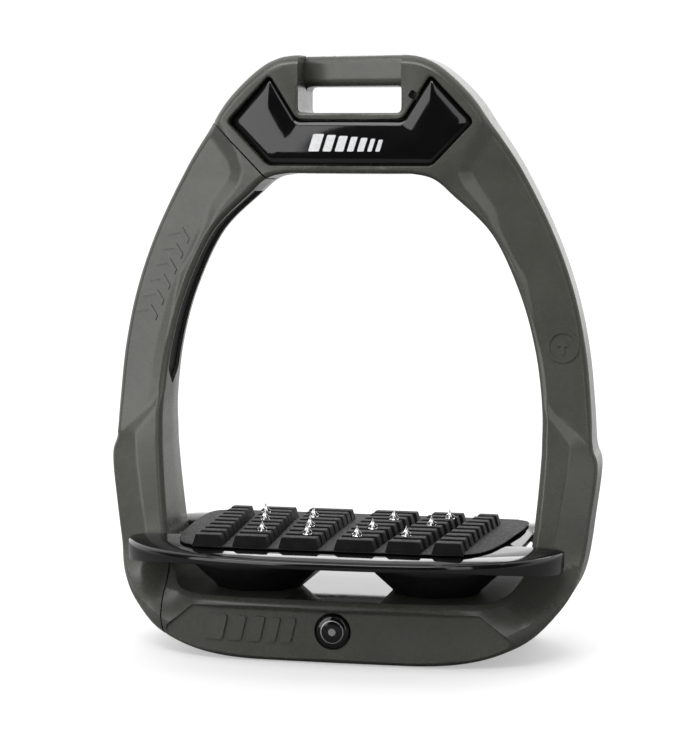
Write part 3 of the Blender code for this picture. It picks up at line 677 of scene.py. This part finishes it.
def cover_loft(levels, corner):
    """The cover's outline with rounded corners, at each pair of Y and growth."""
    return loft([[(x, y, z) for x, z in rounded(cover_outline(grow), corner)]
                 for y, grow in levels])


def slot_space():
    """The leather slot through the bridge: a rounded oblong that opens a little at each end."""
    mouth, corner, arc = 0.6, 1.5, 4
    front, back = FRAME_Y - BRIDGE_HALF_DEPTH, FRAME_Y + BRIDGE_HALF_DEPTH
    levels = [(front - 1.5, mouth + 0.5)]
    for step in range(arc + 1):
        deep = mouth * step / arc
        levels.append((front + deep, mouth - math.sqrt(mouth ** 2 - (mouth - deep) ** 2)))
    levels += [(front + back - y, flare) for y, flare in reversed(levels)]
    loops = []
    for y, flare in levels:
        half, low, high = SLOT_HALF + flare, SLOT_BOTTOM - flare, SLOT_TOP + flare
        oblong = [(-half, low), (half, low), (half, high), (-half, high)]
        loops.append([(x, y, z) for x, z in rounded(oblong, corner, arc)])
    return loft(loops)


def bar_room():
    """The room in front of the slanting bar, with the bar's two rounded edges."""
    front, low, high = FRAME_Y - 16.0, SLOT_TOP - 1.0, HEIGHT + 6.0
    loops = []
    for x, bar_front in zip((-SLOT_HALF, SLOT_HALF), BAR_FRONT):
        middle = bar_front + BAR_ROUND
        profile = [(front, low), (middle, low)]
        for centre_z, start in ((SLOT_TOP + BAR_ROUND, 270), (HEIGHT - BAR_ROUND, 180)):
            for angle in range(start, start - 91, -15):
                turn = math.radians(angle)
                profile.append((middle + BAR_ROUND * math.cos(turn),
                                centre_z + BAR_ROUND * math.sin(turn)))
        profile += [(middle, high), (front, high)]
        loops.append([(x, y, z) for y, z in profile])
    return loft(loops)


def cover_pocket():
    """The cover's seat in the bridge, with a small softened edge."""
    floor, face = COVER_BACK + 0.5, FRAME_Y - 10.0
    margin, edge = 0.45, 0.35
    levels = ((face - 4.0, margin + edge), (face, margin + edge), (face + edge, margin),
              (floor, margin))
    return cover_loft(levels, 1.6)


def bolt_holes():
    """Holes through the base for the bushes, wider below for the bolts' heads."""
    wide, narrow, step = BOLT_HEAD_RADIUS + 1.2, BUSH_RADIUS + GAP, 9.0
    profile = [(wide, -2.0), (wide, step), (narrow, step), (narrow, BASE_TOP + 2.0)]
    return pair(profile, (DAMPER_X, DAMPER_Y, 0.0))


def finish_deck(shell, polished, rough):
    """Give the top of the base its own finish: polished where it is flat between the
    dampers, rough beside them and where it turns up into the arms."""
    shell.data.materials.append(polished)
    shell.data.materials.append(rough)
    between_dampers = DAMPER_X - DAMPER_FOOT_RADIUS
    highest = TRAY_UNDER - 2.0
    for face in shell.data.polygons:
        place = face.center / MM
        on_top = abs(place.z - BASE_TOP) < 0.4 and abs(place.x) < between_dampers
        if face.normal.z > 0.97 and on_top:
            face.material_index = 1
        elif face.normal.z > 0.4 and BASE_TOP - 0.4 < place.z < highest:
            face.material_index = 2


def make_frame(finish, *deck_looks):
    """The moulded frame: base, right arm and bridge in one piece."""
    shell = add_mesh("frame_shell", *frame_ring(), finish)
    lug = LUG_HALF_WIDTH + GAP
    near, far, low, high = HINGE_X + LUG_RADIUS + 0.5, -60.0, -6.0, 11.0
    clevis = [(near, low), (near, high), (far, high), (far, low)]
    badge = [(5.3, -6.0), (5.3, -0.2), (5.0, 0.2), (5.0, 2.6), (2.2, 2.6), (2.2, 12.0)]
    pin = [(PIN_RADIUS + 0.1, -13.6), (PIN_RADIUS + 0.1, 21.0), (2.8, 21.0), (2.8, 40.0)]
    latch = [(3.8, 127.0), (3.8, LATCH_TOP + 0.4)]
    sunk = [(SEAT_RADIUS, -1.0), (SEAT_RADIUS, 2.6)]
    holes = merged([bolt_holes(), turned(latch, (LATCH_X, LATCH_Y, 0.0))])
    cut(shell, [
        arm_space(SPLIT_GAP / 2.0),
        slot_space(), bar_room(), cover_pocket(), holes, panel_cutter(),
        merged([front_prism(clevis, FRAME_Y - lug, FRAME_Y + lug),
                pair(sunk, (SEAT_X, 2.0, SEAT_Z), "Y"),
                turned(badge, (0.0, FRAME_Y - BASE_HALF_DEPTH + 1.3, BADGE_Z), "Y")]),
        turned(pin, (HINGE_X, FRAME_Y, HINGE_Z), "Y"),
        pry_notch(),
    ])
    tidy_normals(shell)
    finish_deck(shell, *deck_looks)
    install(shell, "frame", "frame_composite", "main_frame")
    return shell


def pry_notch():
    """A finger notch beside the cover's right wing."""
    along = Vector((7.5, 11.8)).normalized()
    across = Vector((-along.y, along.x))
    middle = Vector((17.9, 152.3))
    outline = [tuple(middle + across * far + along * side)
               for far, side in ((-2.4, -1.1), (-2.4, 1.1), (1.5, 1.1), (1.5, -1.1))]
    return front_prism(rounded(outline, 0.8), -8.0, FRAME_Y - 7.4)


# ---------------------------------------------------------------- release arm

def strike_frame():
    """Middle of the arm's tip face, the direction down its slope, and its outward normal."""
    slope = (SPLIT_INNER - SPLIT_TOP).normalized()
    normal = Vector((-slope.y, slope.x))
    share = (LATCH_X - SPLIT_TOP[0]) / (SPLIT_INNER[0] - SPLIT_TOP[0])
    return SPLIT_TOP.lerp(SPLIT_INNER, share), slope, normal


def strike_seat():
    """The room for the steel strike in the arm's tip face."""
    middle, slope, normal = strike_frame()
    outline = [tuple(middle + slope * along + normal * out)
               for along, out in ((-STRIKE_HALF_LENGTH, -2.1), (STRIKE_HALF_LENGTH, -2.1),
                                  (STRIKE_HALF_LENGTH, 3.0), (-STRIKE_HALF_LENGTH, 3.0))]
    return front_prism(outline, LATCH_Y - STRIKE_HALF_WIDTH, LATCH_Y + STRIKE_HALF_WIDTH)


def strike_pocket():
    """Upright pocket for the plunger's nose, below the strike."""
    left, right = STRIKE_HOLE
    half = 2.4 + GAP
    floor = NOSE_TIP - 0.7
    outline = [(left - GAP, floor), (right + GAP, floor),
               (right + GAP, floor + 12.0), (left - GAP, floor + 12.0)]
    return front_prism(outline, LATCH_Y - half, LATCH_Y + half)


def screw_hole(across):
    """A screw hole square to the tip face, offset across the arm in Y."""
    middle, slope, normal = strike_frame()
    radius = 0.95
    loops = []
    for out in (1.0, -6.0):
        loop = []
        for step in range(16):
            turn = 2.0 * math.pi * step / 16
            place = middle + slope * radius * math.cos(turn) + normal * out
            loop.append((place.x, LATCH_Y + across + radius * math.sin(turn), place.y))
        loops.append(loop)
    return loft(loops)


def arm_inner_path():
    """The left arm's inner edge line, bottom to top, between the liner's ends."""
    made = []
    for outer, inner, *_ in frame_stations():
        if inner.x < -20.0 and LINER_LOW <= inner.y <= LINER_HIGH:
            along = (outer - inner).normalized()
            made.append((inner, along))
    made.sort(key=lambda pair: pair[0].y)
    return made


def liner_strip(low, high, half_width, overrun):
    """A strip that follows the arm's inner face between two depths below it. Its lower end
    narrows to a point, and its ends can run past the path."""
    path = arm_inner_path()
    start_z = path[0][0].y
    taper = 4.5
    loops = []
    for index, (inner, along) in enumerate(path):
        half = half_width
        if inner.y - start_z < taper:
            half = max(0.6, half_width * (inner.y - start_z + 0.3) / taper)
        half = min(half, half_width)
        near = inner + along * low
        far = inner + along * high
        if index == len(path) - 1:
            near.y += overrun
            far.y += overrun
        loops.append([(near.x, LINER_Y - half, near.y), (near.x, LINER_Y + half, near.y),
                      (far.x, LINER_Y + half, far.y), (far.x, LINER_Y - half, far.y)])
    return loft(loops)


def make_release_arm(finish):
    """The left arm, from its hinge lug to the latched tip."""
    arm = add_mesh("release_arm_shell", *frame_ring(), finish)
    cut(arm, [arm_space(-SPLIT_GAP / 2.0)], "INTERSECT")
    turns = [math.radians(angle) for angle in range(90, -91, -10)]
    left = -47.5
    lug = [(left, HINGE_Z + LUG_RADIUS)]
    lug += [(HINGE_X + LUG_RADIUS * math.cos(turn), HINGE_Z + LUG_RADIUS * math.sin(turn))
            for turn in turns]
    lug += [(left, HINGE_Z - LUG_RADIUS)]
    cut(arm, [front_prism(lug, FRAME_Y - LUG_HALF_WIDTH, FRAME_Y + LUG_HALF_WIDTH)], "UNION")
    cut(arm, [
        turned([(2.9, -14.0), (2.9, 14.0)], (HINGE_X, FRAME_Y, HINGE_Z), "Y"),
        strike_seat(), strike_pocket(), merged([screw_hole(across) for across in (-4.6, 4.6)]),
        liner_strip(-1.5, 1.9, 5.0, 0.4),
    ])
    tidy_normals(arm)
    install(arm, "release_arm", "frame_composite", "release_arm")
    return arm


def make_liner(finish):
    """The dark strip in the channel of the release arm."""
    liner = add_mesh("liner_strip", *liner_strip(0.8, 1.6, 4.7, 0.0), finish)
    install(liner, "release_arm", "grip_rubber", "arm_liner")


# ---------------------------------------------------------------- top cover

def make_cover(gloss, ink):
    """The glossy wing cover: pillowed along its outline and crowned from side to side."""
    pillow, fall, power, sag = 5.4, 1.6, 1.6, 0.0016
    levels = [(COVER_BACK, 0.0)]
    steps = 8
    for step in range(steps + 1):
        inset = pillow * (step / steps) ** power
        drop = fall * (1.0 - math.sqrt(1.0 - (1.0 - inset / pillow) ** power))
        levels.append((COVER_FRONT + drop, -inset))
    cover = add_mesh("cover_shell", *cover_loft(levels, 1.2), gloss)
    seat = [(SEAT_RADIUS, COVER_BACK - 1.5), (SEAT_RADIUS, COVER_BACK + 1.0)]
    cut(cover, [pair(seat, (SEAT_X, 0.0, SEAT_Z), "Y")])
    slice_mesh(cover, 0, range(-32, 33, 2))
    rim = COVER_FRONT + fall + 0.1
    bend(cover, lambda x, y, z: (0.0, sag * x * x if y < rim else 0.0, 0.0))
    shade(cover, 40)
    install(cover, "top_cover", "gloss_black", "top_cover")
    make_cover_mark(cover, ink)


def surface_finder(piece):
    """A function that gives the Y of a piece's front surface at a place X, Z."""
    tree = BVHTree.FromObject(piece, bpy.context.evaluated_depsgraph_get())

    def front(x, z):
        hit = tree.ray_cast(Vector((x, -60.0, z)) * MM, Vector((0.0, 1.0, 0.0)))[0]
        return hit.y / MM

    return front


def raised_mark(name, outlines, front, rise, depth, finish):
    """Thin shapes that lie on a front surface: outlines in X, Z, one body each."""
    bodies = []
    for outline in outlines:
        loops = [[(x, front(x, z) + lift, z) for x, z in outline] for lift in (depth, -rise)]
        bodies.append(loft(loops))
    return add_mesh(name, *merged(bodies), finish, smooth=30)


def slanted_bars(start, widths, gap, low, high, lean, shorten, corner, steps):
    """Outlines of a row of slanted bars, each shorter than the one before it."""
    outlines = []
    for index, width in enumerate(widths):
        top = high - shorten * index
        slant = lean * (top - low) / (high - low)
        outline = [(start, low), (start + width, low), (start + width + slant, top),
                   (start + slant, top)]
        outlines.append(rounded(outline, corner, steps))
        start += width + gap
    return outlines


def make_cover_mark(cover, ink):
    """A plain printed pattern: slanted bars that grow shorter to the right."""
    bars = slanted_bars(-11.2, (3.0, 2.4, 2.4, 1.8, 1.8, 1.2, 1.2), 1.0,
                        137.3, 142.0, 1.5, 0.25, 0.3, 2)
    mark = raised_mark("cover_print", bars, surface_finder(cover), 0.16, 0.25, ink)
    install(mark, "top_cover", "gloss_black")


# ---------------------------------------------------------------- raised marks

def make_frame_marks(shell, finish):
    """Plain raised bars on the front of the base, and a ring with an arrow on the arm."""
    front = surface_finder(shell)
    bars = slanted_bars(-36.0, (5.2, 4.0, 4.0, 3.0, 3.0), 1.3, 5.6, 12.4, 1.6, 0.0, 0.8, 3)
    mark = raised_mark("base_bars", bars, front, 0.55, 0.6, finish)
    install(mark, "frame", "frame_composite")

    centre = Vector((58.4, 85.2))
    ring = ring_on(front, centre, 3.6, 4.4, 0.3)
    arrow = [tuple(centre + Vector(point)) for point in
             ((-0.5, -2.2), (0.5, -2.2), (0.5, 0.0), (1.7, 0.0), (0.0, 2.4), (-1.7, 0.0),
              (-0.5, 0.0))]
    arrow_mark = raised_mark("arm_arrow", [arrow], front, 0.3, 0.5, finish)
    ring_mark = add_mesh("arm_ring", *ring, finish, smooth=30)
    for mark in (arrow_mark, ring_mark):
        install(mark, "frame", "frame_composite")


def ring_on(front, centre, inner, outer, rise, steps=48):
    """A flat ring that lies on a front surface."""
    loops = []
    for step in range(steps):
        turn = 2.0 * math.pi * step / steps
        out = Vector((math.cos(turn), math.sin(turn)))
        near, far = centre + out * inner, centre + out * outer
        corners = ((near, 0.5), (near, -rise), (far, -rise), (far, 0.5))
        loops.append([(place.x, front(*place) + lift, place.y) for place, lift in corners])
    return loft(loops, closed=True)


def make_arm_mark(arm, finish):
    """A row of raised chevrons up the front of the release arm."""
    front = surface_finder(arm)
    start, end = Vector((-58.3, 91.5)), Vector((-49.0, 113.0))
    run = end - start
    up = run.normalized()
    side = Vector((up.y, -up.x))
    half, thick, rise = 3.0, 1.5, 2.0
    outlines = []
    for step in range(6):
        foot = start + run * step / 5.0
        points = ((-half, 0.0), (0.0, rise), (half, 0.0), (half, thick), (0.0, rise + thick),
                  (-half, thick))
        outlines.append([tuple(foot + side * across + up * along) for across, along in points])
    mark = raised_mark("arm_chevrons", outlines, front, 0.3, 0.6, finish)
    install(mark, "release_arm", "frame_composite")


def make_badge(gloss, steel):
    """Domed black badge in the base, with a plain steel ring and dot."""
    front = FRAME_Y - BASE_HALF_DEPTH
    centre = (0.0, front, BADGE_Z)
    cap = [(0.4, 0.5), (1.8, 0.54), (3.0, 0.64), (3.9, 0.82), (4.35, 1.05), (4.55, 1.4),
           (4.6, 2.2), (1.9, 2.2), (1.9, 5.2), (1.5, 5.2), (1.5, 7.4), (1.8, 7.7), (1.8, 9.6)]
    dome = add_mesh("badge_dome", *turned(cap, centre, "Y"), gloss, smooth=40)
    install(dome, "frame", "gloss_black", "badge_cap")
    front_at = surface_finder(dome)
    ring = ring_on(front_at, Vector((0.0, BADGE_Z)), 2.9, 3.15, 0.06)
    mark = add_mesh("badge_ring", *ring, steel, smooth=30)
    install(mark, "frame", "steel")
    dot = [(math.cos(turn), BADGE_Z + math.sin(turn))
           for turn in np.linspace(0.0, 2.0 * math.pi, 24, endpoint=False)]
    install(raised_mark("badge_dot", [dot], front_at, 0.05, 0.3, steel), "frame", "steel")


# ---------------------------------------------------------------- tread

def tray_outline(inset=0.0):
    """Plan of the tread plate: fuller corners at the back, and a notch round each arm."""
    half_width = TRAY_HALF_WIDTH - inset
    half_depth = TRAY_HALF_DEPTH - inset
    notch_x = NOTCH_X - inset
    low = FRAME_Y - NOTCH_HALF_DEPTH - inset
    high = FRAME_Y + NOTCH_HALF_DEPTH + inset
    corner = 1.5

    def edge(power, side, last_y, steps=40):
        """Superellipse points from the middle of the front or back to a given Y."""
        last = math.acos((abs(last_y) / half_depth) ** (power / 2.0))
        turns = [last * step / steps for step in range(steps + 1)]
        return [(half_width * math.sin(turn) ** (2.0 / power),
                 side * half_depth * math.cos(turn) ** (2.0 / power)) for turn in turns]

    front = edge(2.65, -1.0, low - 1.8)
    back = edge(5.0, 1.0, high + 1.8)
    notch = [(front[-1][0] - 1.0, low), (notch_x + corner, low), (notch_x, low + corner),
             (notch_x, high - corner), (notch_x + corner, high), (back[-1][0] - 1.0, high)]
    right = front + notch + list(reversed(back))
    left = [(-x, y) for x, y in reversed(right[1:-1])]
    return right + left


def crown_drop(y):
    """How far the tread's top falls from its middle to its front and back."""
    return TRAY_CROWN * (y / TRAY_HALF_DEPTH) ** 2


def ear_drop(x, y):
    """How far the skirt hangs below the plate: deeper round the ears, not in the notches."""
    outside = (abs(x) / TRAY_HALF_WIDTH) ** 4.2
    clear = smooth_step((abs(y - FRAME_Y) - NOTCH_HALF_DEPTH - 0.2) / 2.6)
    return TRAY_EAR_DROP * outside * clear


def make_tray(gloss):
    """The glossy tread plate with its rounded skirt."""
    lip = ((6.4, 0.0), (5.2, 0.06), (3.8, 0.26), (2.4, 0.62), (1.0, 1.1), (0.35, 1.4),
           (0.08, 1.7), (0.0, 2.1))
    skirt = ((0.0, 0.5, 1.0), (0.15, 0.15, 1.0), (0.5, 0.0, 1.0), (2.4, 0.0, 1.0),
             (2.4, 0.4, 0.0))
    levels = [(inset, TRAY_TOP - drop, 0.0) for inset, drop in lip]
    levels += [(inset, TRAY_UNDER + rise, hang) for inset, rise, hang in skirt]
    loops = []
    for inset, z, hang in levels:
        loops.append([(x, y, z - hang * ear_drop(x, y)) for x, y in tray_outline(inset)])
    tray = add_mesh("tread_shell", *loft(loops), gloss, smooth=45)
    foot = (DAMPER_X, DAMPER_Y, 0.0)
    cut(tray, [pair([(4.4, BOSS_FOOT), (4.4, TRAY_UNDER + 1.5)], foot)], "UNION")
    cut(tray, [pair([(3.4, 18.0), (3.4, 29.4)], foot)])
    slice_mesh(tray, 1, range(-36, 39, 3))
    bend(tray, lambda x, y, z: (0.0, 0.0, -crown_drop(y)))
    shade(tray, 45)
    install(tray, "tread", "gloss_black", "tread_tray")


def pad_outline():
    """Rounded plan of the grip pad: wide rounds at the front, tight ones at the back."""
    front = [(30.0, -31.8), (37.0, -30.0), (41.5, -25.0), (44.2, -14.0), (45.6, 0.0)]
    back = [(46.6, 14.0), (46.4, 26.0), (43.5, 30.4), (38.0, 31.4)]
    right = [(0.0, -32.0)] + front + back
    left = [(-x, y) for x, y in reversed(right) if x > 0.0]
    return right + [(0.0, 31.8)] + left


def curve_through(outline, steps=6):
    """A closed smooth curve through the points of an outline."""
    made = []
    count = len(outline)
    for index in range(count):
        values = [Vector(outline[(index + offset) % count]) for offset in (-1, 0, 1, 2)]
        made += [tuple(blend(values, step / steps)) for step in range(steps)]
    return made


def inset_outline(outline, inset):
    """A closed outline moved inward along its normals."""
    made = []
    count = len(outline)
    for index, here in enumerate(outline):
        along = Vector(outline[(index + 1) % count]) - Vector(outline[index - 1])
        inward = Vector((-along.y, along.x)).normalized()
        made.append(tuple(Vector(here) + inward * inset))
    return made


def block_edges(column, share):
    """Inner and outer X of a column of blocks, part way from the front row to the back."""
    (front_in, front_out), (back_in, back_out) = BLOCK_COLUMNS[column]
    curve = share ** 1.3
    return (front_in + (back_in - front_in) * curve,
            front_out + (back_out - front_out) * curve)


def blocks():
    """Nine rows of tapered blocks in six columns that spread towards the back."""
    made = []
    # How far the ends, front and back have drawn in at each height
    levels = ((0.0, 0.0, 0.0, -0.45), (0.88, 0.6, 0.25, 2.55), (1.05, 0.8, 0.4, 2.74),
              (1.3, 1.1, 0.7, BLOCK_RISE))
    pitch = (BLOCK_BACK - BLOCK_FRONT) / BLOCK_ROWS
    for column in range(len(BLOCK_COLUMNS)):
        for row in range(BLOCK_ROWS):
            low = BLOCK_FRONT + row * pitch
            high = low + pitch - 1.5
            inner, outer = block_edges(column, (row + 0.5) / BLOCK_ROWS)
            for side in (-1.0, 1.0):
                loops = []
                for ends, front, back, rise in levels:
                    near, far = side * (inner + ends), side * (outer - ends)
                    start, end, z = low + front, high - back, PAD_TOP + rise
                    loops.append([(near, start, z), (far, start, z), (far, end, z),
                                  (near, end, z)])
                made.append(loft(loops))
    return made


def stud_places():
    """X and Y of every stud, right and left of the middle in turn."""
    for column in STUDS_HALF:
        for x, y in column:
            for side in (-1.0, 1.0):
                yield side * x, y


def make_pad(rubber, steel):
    """The grip pad with its blocks, and the steel studs screwed into it."""
    outline = curve_through(pad_outline())
    levels = ((0.15, GAP), (0.0, GAP + 0.12), (0.0, PAD_RISE - 0.22), (0.12, PAD_RISE - 0.06),
              (0.35, PAD_RISE))
    loops = [[(x, y, TRAY_TOP + rise) for x, y in inset_outline(outline, inset)]
             for inset, rise in levels]
    pad = add_mesh("pad_rubber", *loft(loops), rubber)
    cut(pad, [merged(blocks())], "UNION")
    sockets = merged([turned([(1.6, 33.9), (1.6, 40.0)], (x, y, 0.0), steps=24)
                      for x, y in stud_places()])
    cut(pad, [sockets])
    slice_mesh(pad, 1, range(-30, 31, 3))
    bend(pad, lambda x, y, z: (0.0, 0.0, -crown_drop(y)))
    tidy_normals(pad, 25)
    install(pad, "tread", "grip_rubber", "grip_pad")
    for index, (x, y) in enumerate(stud_places()):
        node = f"grip_stud_{index + 1:02d}"
        made = add_mesh(f"star_stud_{index + 1:02d}", *stud(x, y), steel, smooth=28)
        install(made, "tread", "bright_steel", node)


def stud(x, y):
    """A four-pointed spike with hollow flanks, on a round foot."""
    foot = PAD_TOP + 1.0 - crown_drop(y)
    rings = ((1.35, 1.35, 0.0), (1.35, 1.35, 1.6), (1.25, 1.25, 1.75), (1.38, 0.6, 1.85),
             (1.38, 0.55, 2.3), (1.0, 0.46, 2.55), (0.7, 0.38, 2.85), (0.47, 0.3, 3.2),
             (0.28, 0.21, 3.65), (0.13, 0.11, 4.1), (0.03, 0.03, 4.4))
    steps = 32
    loops = []
    for reach, waist, height in rings:
        loop = []
        for step in range(steps):
            turn = 2.0 * math.pi * step / steps
            lobe = (0.5 + 0.5 * math.cos(4.0 * (turn - 0.35))) ** 1.6
            radius = waist + (reach - waist) * lobe
            loop.append((x + radius * math.cos(turn), y + radius * math.sin(turn), foot + height))
        loops.append(loop)
    return loft(loops)


def make_dampers(elastomer):
    """Two elastomer dampers: inverted cones with a bead at the foot and a lip at the top."""
    low, high = BASE_TOP + GAP, TRAY_UNDER - TRAY_CROWN - GAP
    foot, top, bore = DAMPER_FOOT_RADIUS, DAMPER_TOP_RADIUS, 4.9
    outer = [(foot - 0.6, low), (foot - 0.15, low + 0.15), (foot, low + 0.5),
             (foot + 0.3, low + 0.9), (top - 0.5, low + 6.9), (top - 0.1, low + 7.5),
             (top, low + 8.1), (top, high - 0.3), (top - 0.3, high)]
    profile = outer + [(bore, high), (bore, low), outer[0]]
    for side, x in (("left", -DAMPER_X), ("right", DAMPER_X)):
        made = add_mesh(f"cone_damper_{side}", *turned(profile, (x, DAMPER_Y, 0.0), steps=96),
                        elastomer, smooth=40)
        install(made, "frame", "elastomer_black", f"damper_{side}")
        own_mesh(made)


def coil(centre, radius, wire, low, high, turns, steps=24, sides=10):
    """A compression spring wound about +Z."""
    loops = []
    count = turns * steps
    for index in range(count + 1):
        share = index / count
        turn = 2.0 * math.pi * turns * share
        outward = Vector((math.cos(turn), math.sin(turn), 0.0))
        middle = Vector(centre) + outward * radius
        middle.z += low + wire + (high - low - 2.0 * wire) * share
        loop = []
        for side in range(sides):
            around = 2.0 * math.pi * side / sides
            rise = Vector((0.0, 0.0, wire * math.sin(around)))
            loop.append(tuple(middle + outward * wire * math.cos(around) + rise))
        loops.append(loop)
    return loft(loops)


def make_latch_spring(steel):
    """The spring behind the latch plunger, wound at one fixed length, though it shortens as the
    plunger rises.
    """
    low, high = 141.2, LATCH_TOP - 1.0
    shape = coil((LATCH_X, LATCH_Y, 0.0), 1.05, 0.22, low, high, 6)
    spring = add_mesh("latch_coil", *shape, steel, smooth=60)
    install(spring, "frame", "steel", "latch_spring")
    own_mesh(spring)


# ---------------------------------------------------------------- kept CAD parts

def finish_kept_nodes(looks):
    """Give each CAD part that stays its finish."""
    kept = {
        "bright": ("hinge_pin", "latch_plunger", "strike_screw_front", "strike_screw_back",
                   "guide_bolt_left", "guide_bolt_right"),
        "steel": ("latch_housing", "latch_strike", "cover_keeper_left",
                  "cover_keeper_right", "bolt_washer_left", "bolt_washer_right",
                  "badge_clip"),
        "brass": ("hinge_bush_front", "hinge_bush_back", "guide_bush_left",
                  "guide_bush_right", "tread_insert_left", "tread_insert_right"),
        "nickel": ("cover_magnet_left", "cover_magnet_right"),
        "rubber": ("pin_plug",),
    }
    for look, names in kept.items():
        for name in names:
            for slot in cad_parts[name].material_slots:
                slot.material = looks[look]


# ---------------------------------------------------------------- stage

def mix_shaders(tree, factor, first, second):
    """The output of a shader that goes from the first to the second with the factor."""
    mix = add_node(tree, "MixShader")
    for source, socket in zip((factor, first, second), mix.inputs):
        tree.links.new(source, socket)
    return mix.outputs["Shader"]


def glow_out(finish, near, start, end, least, strength):
    """A surface that turns to an even white glow between two distances from the middle."""
    tree = finish.tree
    length = add_node(tree, "VectorMath")
    length.operation = "LENGTH"
    tree.links.new(finish.place, length.inputs[0])
    spread = add_node(tree, "MapRange", From_Min=start * MM, From_Max=end * MM, To_Min=least)
    spread.interpolation_type = "SMOOTHSTEP"
    tree.links.new(length.outputs["Value"], spread.inputs["Value"])
    glow = add_node(tree, "Emission", Strength=strength)
    return mix_shaders(tree, spread.outputs["Result"], near, glow.outputs["Emission"])


def make_floor():
    """A pale studio floor, large enough to run out of sight. The object picks up little
    light from the floor close by, and more from the floor far behind it."""
    made = textured("floor_look", ((0.86, 0.86, 0.86), (0.88, 0.88, 0.88)), (220.0,),
                    (0.55, 0.65), (90.0,), specular=0.2)
    tree = made.tree
    dim = add_node(tree, "BsdfDiffuse", Color=(0.24, 0.24, 0.24, 1.0))
    path = add_node(tree, "LightPath")
    felt = glow_out(made, dim.outputs["BSDF"], 260.0, 520.0, 0.0, 0.95)
    seen = glow_out(made, made.shader.outputs["BSDF"], 70.0, 210.0, 0.35, 1.2)
    tree.links.new(mix_shaders(tree, path.outputs["Is Camera Ray"], felt, seen),
                   tree.nodes["Material Output"].inputs["Surface"])
    half, near = FLOOR_HALF, -FLOOR_FRONT
    outline = [(-half, near), (half, near), (half, half), (-half, half)]
    levels = [[(x, y, z) for x, y in outline] for z in (-FLOOR_DEPTH, -FLOOR_DROP)]
    add_mesh("studio_floor", *loft(levels), made.material)


def make_world():
    """A white sky behind the object, dimmer in front, and plain white to the camera."""
    world = bpy.data.worlds.new("studio")
    bpy.context.scene.world = world
    world.use_nodes = True
    tree = world.node_tree
    tree.nodes.clear()
    place = add_node(tree, "TexCoord")
    split = add_node(tree, "SeparateXYZ")
    spread = add_node(tree, "MapRange", From_Min=-1.0)
    ramp = add_node(tree, "ValToRGB")
    elements = ramp.color_ramp.elements
    while len(elements) < len(SKY):
        elements.new(0.5)
    for element, (position, level) in zip(elements, SKY):
        element.position = position
        element.color = (level, level, level, 1.0)
    seen = add_node(tree, "Background", Color=(1.0, 1.0, 1.0, 1.0), Strength=BACKDROP)
    felt = add_node(tree, "Background")
    tree.links.new(place.outputs["Generated"], split.inputs["Vector"])
    tree.links.new(split.outputs["Y"], spread.inputs["Value"])
    tree.links.new(spread.outputs["Result"], ramp.inputs["Fac"])
    tree.links.new(ramp.outputs["Color"], felt.inputs["Color"])
    path = add_node(tree, "LightPath")
    out = add_node(tree, "OutputWorld")
    both = mix_shaders(tree, path.outputs["Is Camera Ray"], felt.outputs["Background"],
                       seen.outputs["Background"])
    tree.links.new(both, out.inputs["Surface"])


def direction(azimuth, elevation):
    """The way out from the object in radians, azimuth 0 being the front."""
    return Vector((math.sin(azimuth) * math.cos(elevation),
                   -math.cos(azimuth) * math.cos(elevation), math.sin(elevation)))


def make_lights():
    """Area lights that look at the middle of the stirrup."""
    for name, azimuth, elevation, distance, width, height, power in SOFTBOXES:
        data = bpy.data.lights.new(name, "AREA")
        data.shape = "RECTANGLE"
        data.size = width
        data.size_y = height
        data.energy = power
        light = bpy.data.objects.new(name, data)
        away = direction(math.radians(azimuth), math.radians(elevation))
        light.location = Vector(LIGHT_AIM) * MM + away * distance
        light.rotation_euler = away.to_track_quat("Z", "Y").to_euler()
        bpy.context.scene.collection.objects.link(light)


def make_camera():
    """A long lens, a little above and to the right of the front."""
    data = bpy.data.cameras.new("camera")
    data.sensor_fit = "HORIZONTAL"
    data.sensor_width = 36.0
    data.lens = CAMERA_LENS
    data.clip_end = 50.0
    camera = bpy.data.objects.new("camera", data)
    azimuth, pitch, roll = (math.radians(angle) for angle in CAMERA_ANGLES)
    away = direction(azimuth, pitch)
    camera.location = (Vector(CAMERA_AIM) + away * CAMERA_DISTANCE) * MM
    facing = away.to_track_quat("Z", "Y").to_matrix().to_4x4()
    facing.translation = camera.location
    camera.matrix_world = facing
    camera.rotation_euler.rotate_axis("Z", roll)
    bpy.context.scene.collection.objects.link(camera)
    bpy.context.scene.camera = camera


# ---------------------------------------------------------------- assembly

def main():
    """Build every piece and the stage."""
    looks = make_finishes()
    composite, gloss, rubber = looks["composite"], looks["gloss"], looks["rubber"]
    shell = make_frame(composite, looks["polished"], looks["rough"])
    arm = make_release_arm(composite)
    make_liner(rubber)
    make_cover(gloss, looks["print"])
    make_frame_marks(shell, composite)
    make_arm_mark(arm, composite)
    make_badge(gloss, looks["steel"])
    make_tray(gloss)
    make_pad(rubber, looks["bright"])
    make_dampers(looks["elastomer"])
    make_latch_spring(looks["steel"])
    finish_kept_nodes(looks)
    make_floor()
    make_world()
    make_lights()
    make_camera()
    bpy.context.scene.view_settings.view_transform = "Standard"


main()
